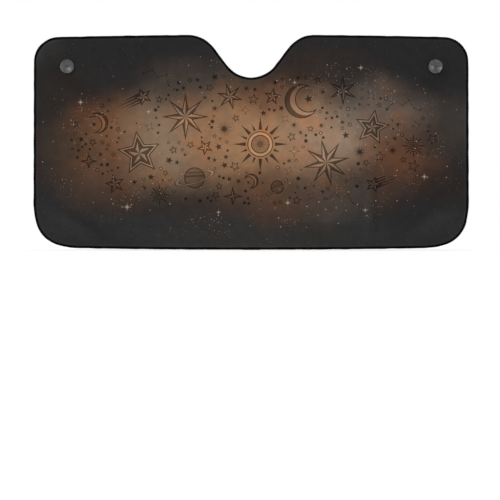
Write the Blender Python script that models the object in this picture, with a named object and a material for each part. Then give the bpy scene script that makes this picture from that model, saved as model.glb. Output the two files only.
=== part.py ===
"""Twist-fold car windscreen shade.

One sheet of printed cloth stands upright, its printed face towards -Y and its lower edge on z = 0.
A tape is folded round its edge and holds a loop of spring wire, closed by a ferrule at the middle of
the lower edge. A notch in the upper edge clears the rear-view mirror. Near each upper corner an
eyelet holds the neck of a clear suction cup, which turns in it.

Lengths are in metres and angles in degrees.
"""

import math
import random

import bmesh
import bpy
from mathutils import Vector
from mathutils.geometry import delaunay_2d_cdt

# Outline of the bound edge
PANEL_WIDTH = 1.420
CORNER_HEIGHT = 0.6835
UPPER_BOW = 0.0095
LOWER_BOW = 0.0085
SIDE_FLARE = 0.0018
UPPER_CORNER_RADIUS = 0.079
LOWER_CORNER_RADIUS = 0.100
LOWER_CORNER_EASE_RADIUS = 0.260
LOWER_CORNER_EASE_ANGLE = 15.0

# Mirror notch
NOTCH_DEPTH = 0.136
NOTCH_BOTTOM_RADIUS = 0.100
NOTCH_SHOULDER_RADIUS = 0.106
NOTCH_FLANK_ANGLE = 52.0

# Cloth, tape and wire
CLOTH_THICKNESS = 0.0008
TAPE_THICKNESS = 0.0005
BINDING_WIDTH = 0.0078
WIRE_RADIUS = 0.0008
WIRE_END_GAP = 0.0010
FERRULE_LENGTH = 0.044
FERRULE_WALL = 0.00045
CRIMP_DEPTH = 0.00015
CRIMP_WIDTH = 0.0040
BULGE_BLEND = 0.012

# Suction cups and their eyelets
CUP_FROM_SIDE = 0.110
CUP_BELOW_TOP = 0.0952
CUP_RADIUS = 0.0225
CUP_COLLAR_RADIUS = 0.0070
CUP_COLLAR_HEIGHT = 0.0012
CUP_HEIGHT = 0.0094
CUP_DISH_DEPTH = 0.0054
CUP_LIP_WIDTH = 0.0011
CUP_LIP_THICKNESS = 0.0006
NECK_RADIUS = 0.0032
HEAD_RADIUS = 0.0048
HEAD_HEIGHT = 0.0032
HEAD_CROWN_RADIUS = 0.0035
HEAD_CROWN_FALL = 0.0005
HEAD_WALL_HEIGHT = 0.0013
EYELET_WALL = 0.0007
EYELET_FLANGE_RADIUS = 0.0070
EYELET_LIP_WIDTH = 0.0011
EYELET_SHEET = 0.0005
WASHER_RADIUS = 0.0070

# Clearance between pieces that touch or turn on each other
SEAT_GAP = 0.0003

# Print: its band as shares of the panel's width and height, and the tones in the order of their slots
PRINT_SEED = 14
PRINT_MARGIN = 0.020
PRINT_SPACING = 0.0035
SMALL_MOTIFS = 120
PLACING_TRIES = 40
SMALLEST_SCALE = 0.75
LARGEST_SCALE = 1.20
BAND_HALF_WIDTH = 0.42
BAND_HALF_HEIGHT = 0.31
BAND_MIDDLE = 0.53
GROUND, INK, SHADE, MIDDLE, PALE = range(5)
TONE_LEVELS = (1.0, 0.20, 0.38, 0.74, 1.42)

# Motifs: one unit and the line's width in metres, the rest as shares of a motif's radius
MOTIF_UNIT = 0.010
LINE_WIDTH = 0.0031
ROUND_SIDES = 18
SMALL_SIDES = 6
WIDE_STAR = 0.46
SLIM_STAR = 0.42
SUN_RAYS = 16
LONG_RAY = (1.0, 0.13)
SHORT_RAY = (0.78, 0.09)
SUN_HALO = 0.53
SUN_DISC = 0.47
SUN_CORE = 0.34
SUN_HEART = 0.20
MOON_HOLLOW = 0.735
MOON_SHIFT = 0.42
MOON_SHADE = 0.88
MOON_STAR = 0.26
PLANET_DISC = 0.52
PLANET_BANDS = ((0.22, 0.30), (0.02, 0.16))
RING_HOLE = 0.80
RING_FLATNESS = 0.30
RING_SLANT = 0.28
COMET_HEAD = 0.46
COMET_STREAKS = ((0.20, -0.62), (0.07, -1.0), (-0.07, -0.82), (-0.20, -0.48))
STREAK_HALF_WIDTH = 0.045
STAR_CHAIN = ((-1.0, 0.10), (-0.52, 0.42), (-0.10, 0.05), (0.36, 0.30), (0.62, -0.28), (1.0, -0.44))
CHAIN_STAR = 0.09

# Smoothness
TURNED_SIDES = 32
WIRE_SIDES = 8
FOLD_STEPS = 8
LONG_EDGE_STEPS = 11
SHORT_EDGE_STEPS = 6
CORNER_STEPS = 8
NOTCH_STEPS = 7
DOME_STEPS = 6
SHORT_RUN_STEPS = 2
SHARP_ANGLE = 40.0
WELD_DISTANCE = 0.000001

# Depths along Y that follow from the sizes above
BORE_RADIUS = NECK_RADIUS + SEAT_GAP
BARREL_RADIUS = BORE_RADIUS + EYELET_WALL
HOLE_RADIUS = BARREL_RADIUS + SEAT_GAP
FERRULE_BORE = WIRE_RADIUS + SEAT_GAP
FERRULE_RADIUS = FERRULE_BORE + FERRULE_WALL
FLANGE_BACK = CLOTH_THICKNESS / 2 + SEAT_GAP
FLANGE_FRONT = FLANGE_BACK + EYELET_SHEET
WASHER_BACK = FLANGE_BACK + EYELET_SHEET
LIP_FRONT = WASHER_BACK + SEAT_GAP
LIP_BACK = LIP_FRONT + EYELET_SHEET
COLLAR_BACK = FLANGE_FRONT + SEAT_GAP
HEAD_FRONT = LIP_BACK + SEAT_GAP
HEAD_BACK = HEAD_FRONT + HEAD_HEIGHT
RIM_FRONT = COLLAR_BACK + CUP_HEIGHT
CLOTH_Y = (RIM_FRONT - HEAD_BACK) / 2

# Radii and insets inside the folded tape
BULB_RADIUS = WIRE_RADIUS + SEAT_GAP + TAPE_THICKNESS
WIRE_INSET = BULB_RADIUS
EDGE_LIFT = FERRULE_RADIUS - WIRE_RADIUS


def srgb(red, green, blue):
    """Linear colour from 8-bit screen values."""
    linear = []
    for value in (red, green, blue):
        share = value / 255
        linear.append(share / 12.92 if share <= 0.04045 else ((share + 0.055) / 1.055) ** 2.4)
    return (*linear, 1.0)


def clear_scene():
    for item in list(bpy.data.objects):
        bpy.data.objects.remove(item, do_unlink=True)


def plain_material(name, colour, roughness, metallic=0.0, transmission=0.0):
    material = bpy.data.materials.new(name)
    material.use_nodes = True
    shader = material.node_tree.nodes["Principled BSDF"]
    shader.inputs["Base Color"].default_value = colour
    shader.inputs["Roughness"].default_value = roughness
    shader.inputs["Metallic"].default_value = metallic
    shader.inputs["Transmission Weight"].default_value = transmission
    return material


def add_colour_field(tree, under, centre, size, colour, strength):
    """Lay a soft elliptical field of one colour over what is under it."""
    place = tree.nodes.new("ShaderNodeTexCoord")
    mapping = tree.nodes.new("ShaderNodeMapping")
    mapping.vector_type = "TEXTURE"
    mapping.inputs["Location"].default_value = (centre[0] * PANEL_WIDTH, CLOTH_Y, centre[1] * CORNER_HEIGHT)
    mapping.inputs["Scale"].default_value = (size[0] * PANEL_WIDTH, 1.0, size[1] * CORNER_HEIGHT)
    falloff = tree.nodes.new("ShaderNodeTexGradient")
    falloff.gradient_type = "SPHERICAL"
    soften = tree.nodes.new("ShaderNodeMapRange")
    soften.interpolation_type = "SMOOTHSTEP"
    soften.inputs["To Max"].default_value = strength
    mix = tree.nodes.new("ShaderNodeMix")
    mix.data_type = "RGBA"
    factor, first, second = mix.inputs[0], mix.inputs[6], mix.inputs[7]
    second.default_value = colour
    tree.links.new(place.outputs["Object"], mapping.inputs["Vector"])
    tree.links.new(mapping.outputs["Vector"], falloff.inputs["Vector"])
    tree.links.new(falloff.outputs["Fac"], soften.inputs["Value"])
    tree.links.new(soften.outputs["Result"], factor)
    tree.links.new(under, first)
    return mix.outputs[2]


# Colour fields of the print: centre and half-size as shares of the panel, colour and strength
COLOUR_FIELDS = (
    ((-0.451, 0.088), (0.239, 0.351), (54, 54, 55), 0.8),
    ((0.465, 0.088), (0.211, 0.351), (56, 55, 54), 0.8),
    ((0.000, 0.505), (0.620, 0.585), (78, 60, 49), 1.0),
    ((0.000, 0.439), (0.423, 0.497), (84, 66, 54), 0.7),
    ((-0.352, 0.366), (0.183, 0.293), (104, 76, 58), 0.7),
    ((-0.324, 0.571), (0.197, 0.293), (140, 95, 62), 0.85),
    ((-0.191, 0.527), (0.169, 0.351), (148, 122, 99), 0.9),
    ((0.025, 0.544), (0.296, 0.410), (168, 124, 89), 1.0),
    ((0.211, 0.574), (0.169, 0.322), (170, 142, 117), 0.9),
    ((0.324, 0.688), (0.169, 0.249), (106, 94, 84), 0.8),
    ((0.343, 0.424), (0.183, 0.293), (114, 77, 54), 0.8),
    ((0.060, 0.271), (0.197, 0.205), (92, 63, 50), 0.6),
    ((0.073, 0.749), (0.099, 0.146), (118, 76, 54), 0.6),
    ((0.142, 0.863), (0.113, 0.146), (62, 50, 43), 0.6),
    ((0.204, 0.219), (0.169, 0.190), (82, 74, 69), 0.7),
    ((-0.141, 0.796), (0.155, 0.205), (92, 82, 73), 0.6),
    ((-0.437, 0.527), (0.127, 0.263), (76, 59, 48), 0.6),
    ((0.423, 0.541), (0.127, 0.234), (66, 54, 46), 0.5),
)
CHARCOAL = (40, 40, 41)


def printed_material(name, level):
    """One tone of the print: a level of the soft fields of colour over charcoal."""
    material = plain_material(name, srgb(*CHARCOAL), 0.75)
    tree = material.node_tree
    base = tree.nodes.new("ShaderNodeRGB")
    base.outputs[0].default_value = srgb(*CHARCOAL)
    colour = base.outputs[0]
    for centre, size, patch, strength in COLOUR_FIELDS:
        colour = add_colour_field(tree, colour, centre, size, srgb(*patch), strength)
    toned = tree.nodes.new("ShaderNodeVectorMath")
    toned.operation = "SCALE"
    toned.inputs["Scale"].default_value = level
    tree.links.new(colour, toned.inputs[0])
    tree.links.new(toned.outputs["Vector"], tree.nodes["Principled BSDF"].inputs["Base Color"])
    return material


def finish_object(name, mesh, materials, parent, location=(0.0, 0.0, 0.0)):
    for material in materials:
        mesh.materials.append(material)
    mesh.shade_smooth()
    mesh.set_sharp_from_angle(angle=math.radians(SHARP_ANGLE))
    item = bpy.data.objects.new(name, mesh)
    item.location = location
    item.parent = parent
    bpy.context.scene.collection.objects.link(item)
    return item


def mesh_from(bm, name):
    bmesh.ops.recalc_face_normals(bm, faces=bm.faces[:])
    mesh = bpy.data.meshes.new(name)
    bm.to_mesh(mesh)
    bm.free()
    return mesh


def arc(centre, radius, start, stop, steps):
    """Points along an arc, leaving out its first one."""
    points = []
    for step in range(1, steps + 1):
        angle = math.radians(start + (stop - start) * step / steps)
        points.append((centre[0] + radius * math.cos(angle), centre[1] + radius * math.sin(angle)))
    return points


def straight(start, stop, steps):
    """Points along a straight line, leaving out its first one."""
    points = []
    for step in range(1, steps + 1):
        share = step / steps
        points.append((start[0] + (stop[0] - start[0]) * share, start[1] + (stop[1] - start[1]) * share))
    return points


def eased_corner(start, steps):
    """Corner that a spring wire takes: tight in the middle and eased at both ends."""
    ease = LOWER_CORNER_EASE_ANGLE
    stretches = (
        (LOWER_CORNER_EASE_RADIUS, -90, ease - 90, SHORT_RUN_STEPS),
        (LOWER_CORNER_RADIUS, ease - 90, -ease, steps),
        (LOWER_CORNER_EASE_RADIUS, -ease, 0, SHORT_RUN_STEPS),
    )
    points = [start]
    for radius, first, last, count in stretches:
        angle = math.radians(first)
        end = points[-1]
        centre = (end[0] - radius * math.cos(angle), end[1] - radius * math.sin(angle))
        points += arc(centre, radius, first, last, count)
    return points[1:]


def eased_corner_leg():
    """How far an eased corner reaches along each of the two edges that it joins."""
    ease = math.radians(LOWER_CORNER_EASE_ANGLE)
    eased = LOWER_CORNER_EASE_RADIUS * (1 + math.sin(ease) - math.cos(ease))
    return eased + LOWER_CORNER_RADIUS * (math.cos(ease) - math.sin(ease))


def bowed(point):
    """Bow the long edges outwards and widen the panel towards its lower corners."""
    x, z = point
    height = z / CORNER_HEIGHT
    half = PANEL_WIDTH / 2
    middle = 1 - (x / half) ** 2
    widest = eased_corner_leg() / CORNER_HEIGHT
    wide = x + (x / half) * SIDE_FLARE * (widest - height)
    tall = z + middle * (UPPER_BOW * height - LOWER_BOW * (1 - height))
    return (wide, tall + LOWER_BOW + EDGE_LIFT)


def half_outline():
    """Right half of the bound edge, from the middle of the lower edge up and round to the notch."""
    half = PANEL_WIDTH / 2
    top = CORNER_HEIGHT
    flank = math.radians(NOTCH_FLANK_ANGLE)
    fall = 1 - math.cos(flank)
    flank_drop = NOTCH_DEPTH - (NOTCH_BOTTOM_RADIUS + NOTCH_SHOULDER_RADIUS) * fall
    flank_run = flank_drop / math.tan(flank)
    notch_half = (NOTCH_BOTTOM_RADIUS + NOTCH_SHOULDER_RADIUS) * math.sin(flank) + flank_run
    points = [(0.0, 0.0), (FERRULE_LENGTH / 2 + SEAT_GAP, 0.0)]
    points.append((points[-1][0] + BULGE_BLEND, 0.0))
    points += straight(points[-1], (half - eased_corner_leg(), 0.0), LONG_EDGE_STEPS)
    points += eased_corner(points[-1], CORNER_STEPS)
    points += straight(points[-1], (half, top - UPPER_CORNER_RADIUS), SHORT_EDGE_STEPS)
    centre = (half - UPPER_CORNER_RADIUS, top - UPPER_CORNER_RADIUS)
    points += arc(centre, UPPER_CORNER_RADIUS, 0, 90, CORNER_STEPS)
    points += straight(points[-1], (notch_half, top), SHORT_EDGE_STEPS)
    centre = (notch_half, top - NOTCH_SHOULDER_RADIUS)
    points += arc(centre, NOTCH_SHOULDER_RADIUS, 90, 90 + NOTCH_FLANK_ANGLE, NOTCH_STEPS)
    centre = (0.0, top - NOTCH_DEPTH + NOTCH_BOTTOM_RADIUS)
    foot = (NOTCH_BOTTOM_RADIUS * math.sin(flank), centre[1] - NOTCH_BOTTOM_RADIUS * math.cos(flank))
    points += straight(points[-1], foot, SHORT_RUN_STEPS)
    points += arc(centre, NOTCH_BOTTOM_RADIUS, NOTCH_FLANK_ANGLE - 90, -90, NOTCH_STEPS)
    return [bowed(point) for point in points]


def edge_stations():
    """Points of the whole bound edge, each with its inward direction in the panel's plane."""
    right = half_outline()
    loop = right + [(-x, z) for x, z in reversed(right[1:-1])]
    stations = []
    for index, point in enumerate(loop):
        before = Vector(loop[index - 1])
        after = Vector(loop[(index + 1) % len(loop)])
        along = (after - before).normalized()
        stations.append((Vector(point), Vector((-along.y, along.x))))
    return stations


def core_radius(point):
    """Radius of what lies in the fold: the wire, or the ferrule where it is."""
    if point.y > CORNER_HEIGHT / 2:
        return WIRE_RADIUS
    past_end = abs(point.x) - FERRULE_LENGTH / 2 - SEAT_GAP
    share = min(max(1 - past_end / BULGE_BLEND, 0.0), 1.0)
    return WIRE_RADIUS + (FERRULE_RADIUS - WIRE_RADIUS) * share


def binding_section(point):
    """Section of the folded tape, as inset from the edge and offset along Y."""
    inner = core_radius(point) + SEAT_GAP
    outer = inner + TAPE_THICKNESS
    slot = CLOTH_THICKNESS / 2 + SEAT_GAP
    face = slot + TAPE_THICKNESS
    centre = (WIRE_INSET, 0.0)
    outer_start = math.degrees(math.asin(face / outer))
    inner_start = math.degrees(math.asin(slot / inner))
    section = [(BINDING_WIDTH, face)]
    section += arc(centre, outer, outer_start, outer_start, 1)
    section += arc(centre, outer, outer_start, 360 - outer_start, FOLD_STEPS)
    section += [(BINDING_WIDTH, -face), (BINDING_WIDTH, -slot)]
    section += arc(centre, inner, 360 - inner_start, 360 - inner_start, 1)
    section += arc(centre, inner, 360 - inner_start, inner_start, FOLD_STEPS)
    section.append((BINDING_WIDTH, slot))
    return section


def wire_section(point):
    return arc((WIRE_INSET, 0.0), WIRE_RADIUS, 0, 360, WIRE_SIDES)


def sweep(name, stations, section_at, closed):
    """Carry a section along stations of the bound edge."""
    bm = bmesh.new()
    rings = []
    for point, inward in stations:
        ring = []
        for inset, offset in section_at(point):
            place = point + inward * inset
            ring.append(bm.verts.new((place.x, CLOTH_Y + offset, place.y)))
        rings.append(ring)
    pairs = list(zip(rings, rings[1:]))
    if closed:
        pairs.append((rings[-1], rings[0]))
    for first, second in pairs:
        for index in range(len(first)):
            after = (index + 1) % len(first)
            bm.faces.new((first[index], first[after], second[after], second[index]))
    if not closed:
        bm.faces.new(rings[0])
        bm.faces.new(rings[-1])
    return mesh_from(bm, name)


def wire_stations(stations):
    """The wire's run starts and ends inside the ferrule, with a small gap between its ends."""
    middle, inward = stations[0]
    end = Vector((WIRE_END_GAP / 2, 0.0))
    return [(middle + end, inward)] + stations[1:] + [(middle - end, inward)]


def turned(name, profile, axis, closed):
    """Turn a profile of (radius, height) points about an axis through the origin."""
    bm = bmesh.new()
    side = Vector((0.0, 0.0, 1.0))
    verts = [bm.verts.new(side * radius + axis * height) for radius, height in profile]
    edges = [bm.edges.new(pair) for pair in zip(verts, verts[1:])]
    if closed:
        edges.append(bm.edges.new((verts[-1], verts[0])))
    bmesh.ops.spin(
        bm,
        geom=verts + edges,
        cent=(0.0, 0.0, 0.0),
        axis=axis,
        angle=math.tau,
        steps=TURNED_SIDES,
        use_merge=True,
    )
    bmesh.ops.remove_doubles(bm, verts=bm.verts[:], dist=WELD_DISTANCE)
    return mesh_from(bm, name)


def ferrule_profile():
    """Tube with a crimped groove over each wire end."""
    half = FERRULE_LENGTH / 2
    groove = FERRULE_RADIUS - CRIMP_DEPTH
    profile = [(FERRULE_BORE, -half), (FERRULE_RADIUS, -half)]
    for middle in (-half / 2, half / 2):
        profile.append((FERRULE_RADIUS, middle - CRIMP_WIDTH / 2))
        profile.append((groove, middle - CRIMP_WIDTH / 4))
        profile.append((groove, middle + CRIMP_WIDTH / 4))
        profile.append((FERRULE_RADIUS, middle + CRIMP_WIDTH / 2))
    profile += [(FERRULE_RADIUS, half), (FERRULE_BORE, half)]
    return profile


def eyelet_profile():
    """Front flange, barrel through the cloth and the lip rolled out behind the washer."""
    lip = BARREL_RADIUS + EYELET_LIP_WIDTH
    return [
        (BORE_RADIUS, -FLANGE_FRONT),
        (EYELET_FLANGE_RADIUS - EYELET_SHEET / 2, -FLANGE_FRONT),
        (EYELET_FLANGE_RADIUS, -FLANGE_FRONT + EYELET_SHEET / 2),
        (EYELET_FLANGE_RADIUS, -FLANGE_BACK),
        (BARREL_RADIUS, -FLANGE_BACK),
        (BARREL_RADIUS, LIP_FRONT),
        (lip, LIP_FRONT),
        (lip, LIP_BACK - EYELET_SHEET / 2),
        (lip - EYELET_SHEET / 2, LIP_BACK),
        (BORE_RADIUS, LIP_BACK),
    ]


def washer_profile():
    return [
        (HOLE_RADIUS, FLANGE_BACK),
        (WASHER_RADIUS, FLANGE_BACK),
        (WASHER_RADIUS, WASHER_BACK - EYELET_SHEET / 2),
        (WASHER_RADIUS - EYELET_SHEET / 2, WASHER_BACK),
        (HOLE_RADIUS, WASHER_BACK),
    ]


def dome(radius, depth, start_radius, stop_radius, start_height, steps):
    """Points of a shallow dome, whose height falls by depth at its full radius."""
    points = []
    for step in range(steps + 1):
        reach = start_radius + (stop_radius - start_radius) * step / steps
        points.append((reach, start_height - depth * (reach / radius) ** 2))
    return points


def cup_profile():
    """One moulding: head behind the cloth, neck in the eyelet, collar, domed bell and hollow dish."""
    collar_front = COLLAR_BACK + CUP_COLLAR_HEIGHT
    bell_start = -collar_front
    bell_depth = RIM_FRONT - CUP_LIP_THICKNESS - collar_front
    dish_radius = CUP_RADIUS - CUP_LIP_WIDTH
    dish_top = -RIM_FRONT + CUP_DISH_DEPTH
    bell = dome(CUP_RADIUS, bell_depth, CUP_COLLAR_RADIUS, CUP_RADIUS, bell_start, DOME_STEPS)
    dish = dome(dish_radius, CUP_DISH_DEPTH, dish_radius, 0.0, dish_top, DOME_STEPS)
    profile = [
        (0.0, HEAD_BACK),
        (HEAD_CROWN_RADIUS, HEAD_BACK - HEAD_CROWN_FALL),
        (HEAD_RADIUS, HEAD_FRONT + HEAD_WALL_HEIGHT),
        (HEAD_RADIUS, HEAD_FRONT + SEAT_GAP),
        (HEAD_RADIUS - SEAT_GAP, HEAD_FRONT),
        (NECK_RADIUS, HEAD_FRONT),
        (NECK_RADIUS, -COLLAR_BACK),
        (CUP_COLLAR_RADIUS, -COLLAR_BACK),
    ]
    return profile + bell + [(CUP_RADIUS, -RIM_FRONT)] + dish


def star(points, inner, turn=0.0):
    """Outline of a plain star with its tips at radius 1."""
    outline = []
    for index in range(points * 2):
        angle = math.radians(90 + turn) + math.pi * index / points
        reach = inner if index % 2 else 1.0
        outline.append((reach * math.cos(angle), reach * math.sin(angle)))
    return outline


def disc(radius, sides=ROUND_SIDES):
    return arc((0.0, 0.0), radius, 0, 360, sides)


def moved(outline, size, x=0.0, z=0.0):
    return [(x + size * px, z + size * pz) for px, pz in outline]


def inset(outline, depth):
    """Outline moved inwards by one distance all round, with sharp corners."""
    result = []
    for index, corner in enumerate(outline):
        before = (Vector(corner) - Vector(outline[index - 1])).normalized()
        after = (Vector(outline[(index + 1) % len(outline)]) - Vector(corner)).normalized()
        first, second = Vector((-before.y, before.x)), Vector((-after.y, after.x))
        shift = (first + second) * depth / (1 + first.dot(second))
        result.append((corner[0] + shift.x, corner[1] + shift.y))
    return result


def facets(outline):
    """Ridged rays of a star: one half of each in shade, the other pale."""
    shapes = []
    for index in range(0, len(outline), 2):
        shapes.append(([(0.0, 0.0), outline[index - 1], outline[index]], SHADE))
        shapes.append(([(0.0, 0.0), outline[index], outline[index + 1]], PALE))
    return shapes


def ridged(points, inner):
    """Kind of star with that many ridged rays inside a line."""
    def motif(line):
        outline = star(points, inner)
        return [(outline, INK)] + facets(inset(outline, line))
    return motif


def framed_star(line):
    """Ridged five-point star inside a broad frame."""
    outline = star(5, WIDE_STAR)
    shapes = [(outline, INK)]
    for lines, tone in ((1.0, PALE), (2.4, INK), (3.2, SHADE)):
        shapes.append((inset(outline, line * lines), tone))
    return shapes + facets(inset(outline, line * 4.6))


def sun(line):
    """Ringed disc with long and short rays."""
    shapes = []
    for index in range(SUN_RAYS):
        angle = math.tau * index / SUN_RAYS
        reach, foot = SHORT_RAY if index % 2 else LONG_RAY
        tip = (reach * math.cos(angle), reach * math.sin(angle))
        left = (SUN_HALO * math.cos(angle + foot), SUN_HALO * math.sin(angle + foot))
        right = (SUN_HALO * math.cos(angle - foot), SUN_HALO * math.sin(angle - foot))
        shapes.append(([right, tip, left], INK))
    shapes += [(disc(SUN_DISC), INK), (disc(SUN_DISC - line), PALE)]
    shapes += [(disc(SUN_CORE), INK), (disc(SUN_CORE - line), MIDDLE)]
    return shapes + [(moved(star(8, WIDE_STAR), SUN_HEART), SHADE)]


def lune(radius, hollow, shift):
    """Outline between a circle and another one, shifted to its right, that cuts it hollow."""
    x = (radius ** 2 - hollow ** 2 + shift ** 2) / (2 * shift)
    horn = math.degrees(math.acos(x / radius))
    hollow_horn = math.degrees(math.acos((x - shift) / hollow))
    outer = arc((0.0, 0.0), radius, horn, 360 - horn, ROUND_SIDES)
    return outer + arc((shift, 0.0), hollow, 360 - hollow_horn, hollow_horn, ROUND_SIDES)


def crescent(line):
    """Crescent shaded along its back, with a small star in its opening."""
    shapes = [(lune(1.0, MOON_HOLLOW, MOON_SHIFT), INK)]
    shapes.append((lune(1.0 - line, MOON_HOLLOW + line, MOON_SHIFT), PALE))
    shapes.append((lune(1.0 - line, MOON_SHADE, MOON_SHIFT / 2), SHADE))
    return shapes + [(moved(star(5, SLIM_STAR), MOON_STAR, MOON_SHIFT), INK)]


def planet(line):
    """Banded disc inside a slanted ring, whose near half passes in front."""
    def ring(size, first=0, last=360):
        round_points = arc((0.0, 0.0), size, first, last, ROUND_SIDES)
        return [(x, z * RING_FLATNESS + x * RING_SLANT) for x, z in round_points]

    def near_half(outer, inner):
        return ring(outer, 172, 368) + ring(inner, 368, 172)

    body = PLANET_DISC - line
    shapes = [(ring(1.0), INK), (ring(1.0 - line), PALE)]
    shapes += [(ring(RING_HOLE), INK), (ring(RING_HOLE - line), GROUND)]
    shapes += [(disc(PLANET_DISC), INK), (disc(body), MIDDLE)]
    for low, high in PLANET_BANDS:
        low, high = math.degrees(math.asin(low / body)), math.degrees(math.asin(high / body))
        band = arc((0.0, 0.0), body, low, high, 3) + arc((0.0, 0.0), body, 180 - high, 180 - low, 3)
        shapes.append((band, SHADE))
    shapes.append((near_half(1.0, RING_HOLE - line), INK))
    return shapes + [(near_half(1.0 - line, RING_HOLE), PALE)]


def comet(line):
    """Ridged star with tapering streaks behind it."""
    shapes = []
    for rise, reach in COMET_STREAKS:
        upper, lower = rise + STREAK_HALF_WIDTH, rise - STREAK_HALF_WIDTH
        streak = [(COMET_HEAD, upper), (reach, rise), (COMET_HEAD, lower)]
        shapes.append((streak, INK))
    head = ridged(5, WIDE_STAR)(line / COMET_HEAD)
    return shapes + [(moved(outline, COMET_HEAD, 1.0 - COMET_HEAD), tone) for outline, tone in head]


def burst(line):
    """Fine spikes round a dark centre."""
    return [(star(14, 0.24), INK)]


def constellation(line):
    """Small stars joined by hairlines."""
    shapes = []
    for start, end in zip(STAR_CHAIN, STAR_CHAIN[1:]):
        start, end = Vector(start), Vector(end)
        along = (end - start).normalized()
        side = Vector((-along.y, along.x)) * line / 4
        start, end = start + along * CHAIN_STAR, end - along * CHAIN_STAR
        shapes.append(([tuple(start - side), tuple(end - side), tuple(end + side), tuple(start + side)], INK))
    for x, z in STAR_CHAIN:
        shapes.append((moved(star(4, 0.36), CHAIN_STAR, x, z), INK))
    return shapes


def lined_star(line):
    outline = star(5, WIDE_STAR)
    return [(outline, INK), (inset(outline, min(line * 0.75, 0.17)), GROUND)]


def solid_star(line):
    return [(star(5, SLIM_STAR), INK)]


def sparkle(line):
    outline = star(4, 0.24)
    return [(outline, INK), (inset(outline, min(line * 0.5, 0.07)), PALE)]


def small_burst(line):
    return [(star(8, 0.26), INK)]


def small_ring(line):
    return [(disc(1.0, SMALL_SIDES), INK), (disc(max(1 - line * 0.8, 0.35), SMALL_SIDES), PALE)]


def dot(line):
    return [(disc(1.0, SMALL_SIDES), INK)]


# Large motifs: kind, place across and up the panel as shares of it, radius in motif units, turn
LARGE_MOTIFS = (
    (sun, 0.021, 0.505, 9.0, 0),
    (ridged(8, 0.34), -0.151, 0.636, 7.8, 0),
    (ridged(8, 0.36), 0.173, 0.417, 7.8, 12),
    (framed_star, -0.257, 0.461, 7.4, 8),
    (framed_star, 0.278, 0.585, 6.0, -10),
    (planet, -0.130, 0.344, 6.6, 0),
    (planet, 0.060, 0.300, 4.2, 20),
    (crescent, 0.116, 0.710, 5.6, 18),
    (crescent, -0.352, 0.607, 3.4, 200),
    (crescent, 0.000, 0.329, 2.4, -150),
    (ridged(6, 0.32), 0.211, 0.761, 5.0, 0),
    (ridged(6, 0.34), -0.049, 0.732, 4.6, 15),
    (comet, -0.271, 0.710, 6.6, 25),
    (comet, 0.303, 0.329, 6.2, -160),
    (sun, 0.373, 0.497, 4.2, 0),
    (sun, -0.211, 0.263, 3.8, 0),
    (ridged(4, 0.28), -0.042, 0.256, 3.4, 0),
    (ridged(4, 0.28), -0.373, 0.424, 3.0, 0),
    (ridged(5, 0.42), 0.049, 0.732, 3.0, -8),
    (ridged(5, 0.42), -0.313, 0.315, 3.4, 14),
    (ridged(5, 0.42), -0.106, 0.490, 2.8, 30),
    (burst, 0.250, 0.468, 2.6, 5),
    (burst, -0.062, 0.578, 2.8, 0),
    (burst, 0.325, 0.475, 2.0, 0),
    (sparkle, 0.099, 0.471, 2.0, 0),
    (sparkle, -0.013, 0.667, 1.7, 0),
    (constellation, -0.211, 0.819, 5.5, -12),
    (constellation, 0.352, 0.688, 5.0, 10),
    (constellation, 0.211, 0.241, 5.0, 4),
)
# Small motifs, dealt in turn: kind and radius in motif units
SMALL_KINDS = (
    (lined_star, 1.80),
    (dot, 0.45),
    (solid_star, 1.10),
    (small_ring, 0.60),
    (sparkle, 1.90),
    (dot, 0.36),
    (lined_star, 1.25),
    (small_burst, 1.30),
    (solid_star, 0.75),
    (small_ring, 0.46),
    (dot, 0.55),
    (lined_star, 0.90),
)


def distance_to_edge(point, loop):
    nearest = PANEL_WIDTH
    for index, end in enumerate(loop):
        start = loop[index - 1]
        run = end - start
        share = min(max((point - start).dot(run) / run.length_squared, 0.0), 1.0)
        nearest = min(nearest, (start + run * share - point).length)
    return nearest


def is_inside(point, loop):
    inside = False
    for index, end in enumerate(loop):
        start = loop[index - 1]
        if (start.y > point.y) != (end.y > point.y):
            crossing = start.x + (point.y - start.y) * (end.x - start.x) / (end.y - start.y)
            inside = inside != (crossing > point.x)
    return inside


def fits(point, radius, loops, taken):
    """A motif keeps clear of the cloth's edges and of the motifs already placed."""
    if any((point - place).length < radius + size + PRINT_SPACING for place, size in taken):
        return False
    if not is_inside(point, loops[0]):
        return False
    return min(distance_to_edge(point, loop) for loop in loops) > radius + PRINT_MARGIN


def placed(shapes, point, radius, turn):
    """Shapes of one motif, moved to their place on the cloth."""
    angle = math.radians(turn)
    across = Vector((math.cos(angle), math.sin(angle))) * radius
    up = Vector((-math.sin(angle), math.cos(angle))) * radius
    return [([point + across * x + up * z for x, z in outline], tone) for outline, tone in shapes]


def print_shapes(loops):
    """Every shape of the print, in the order they are laid down."""
    shapes = []
    taken = []
    for motif, across, up, size, turn in LARGE_MOTIFS:
        point = Vector((across * PANEL_WIDTH, up * CORNER_HEIGHT))
        radius = size * MOTIF_UNIT
        if fits(point, radius, loops, []):
            shapes += placed(motif(LINE_WIDTH / radius), point, radius, turn)
            taken.append((point, radius))
    for count in range(SMALL_MOTIFS):
        motif, size = SMALL_KINDS[count % len(SMALL_KINDS)]
        chance = random.Random(PRINT_SEED * 1000 + count)
        radius = size * MOTIF_UNIT * chance.uniform(SMALLEST_SCALE, LARGEST_SCALE)
        turn = chance.uniform(0, 72)
        for attempt in range(PLACING_TRIES):
            angle = chance.uniform(0, math.tau)
            reach = math.sqrt(chance.random())
            across = reach * math.cos(angle) * BAND_HALF_WIDTH
            up = BAND_MIDDLE + reach * math.sin(angle) * BAND_HALF_HEIGHT
            point = Vector((across * PANEL_WIDTH, up * CORNER_HEIGHT))
            if fits(point, radius, loops, taken):
                shapes += placed(motif(LINE_WIDTH / radius), point, radius, turn)
                taken.append((point, radius))
                break
    return shapes


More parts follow.
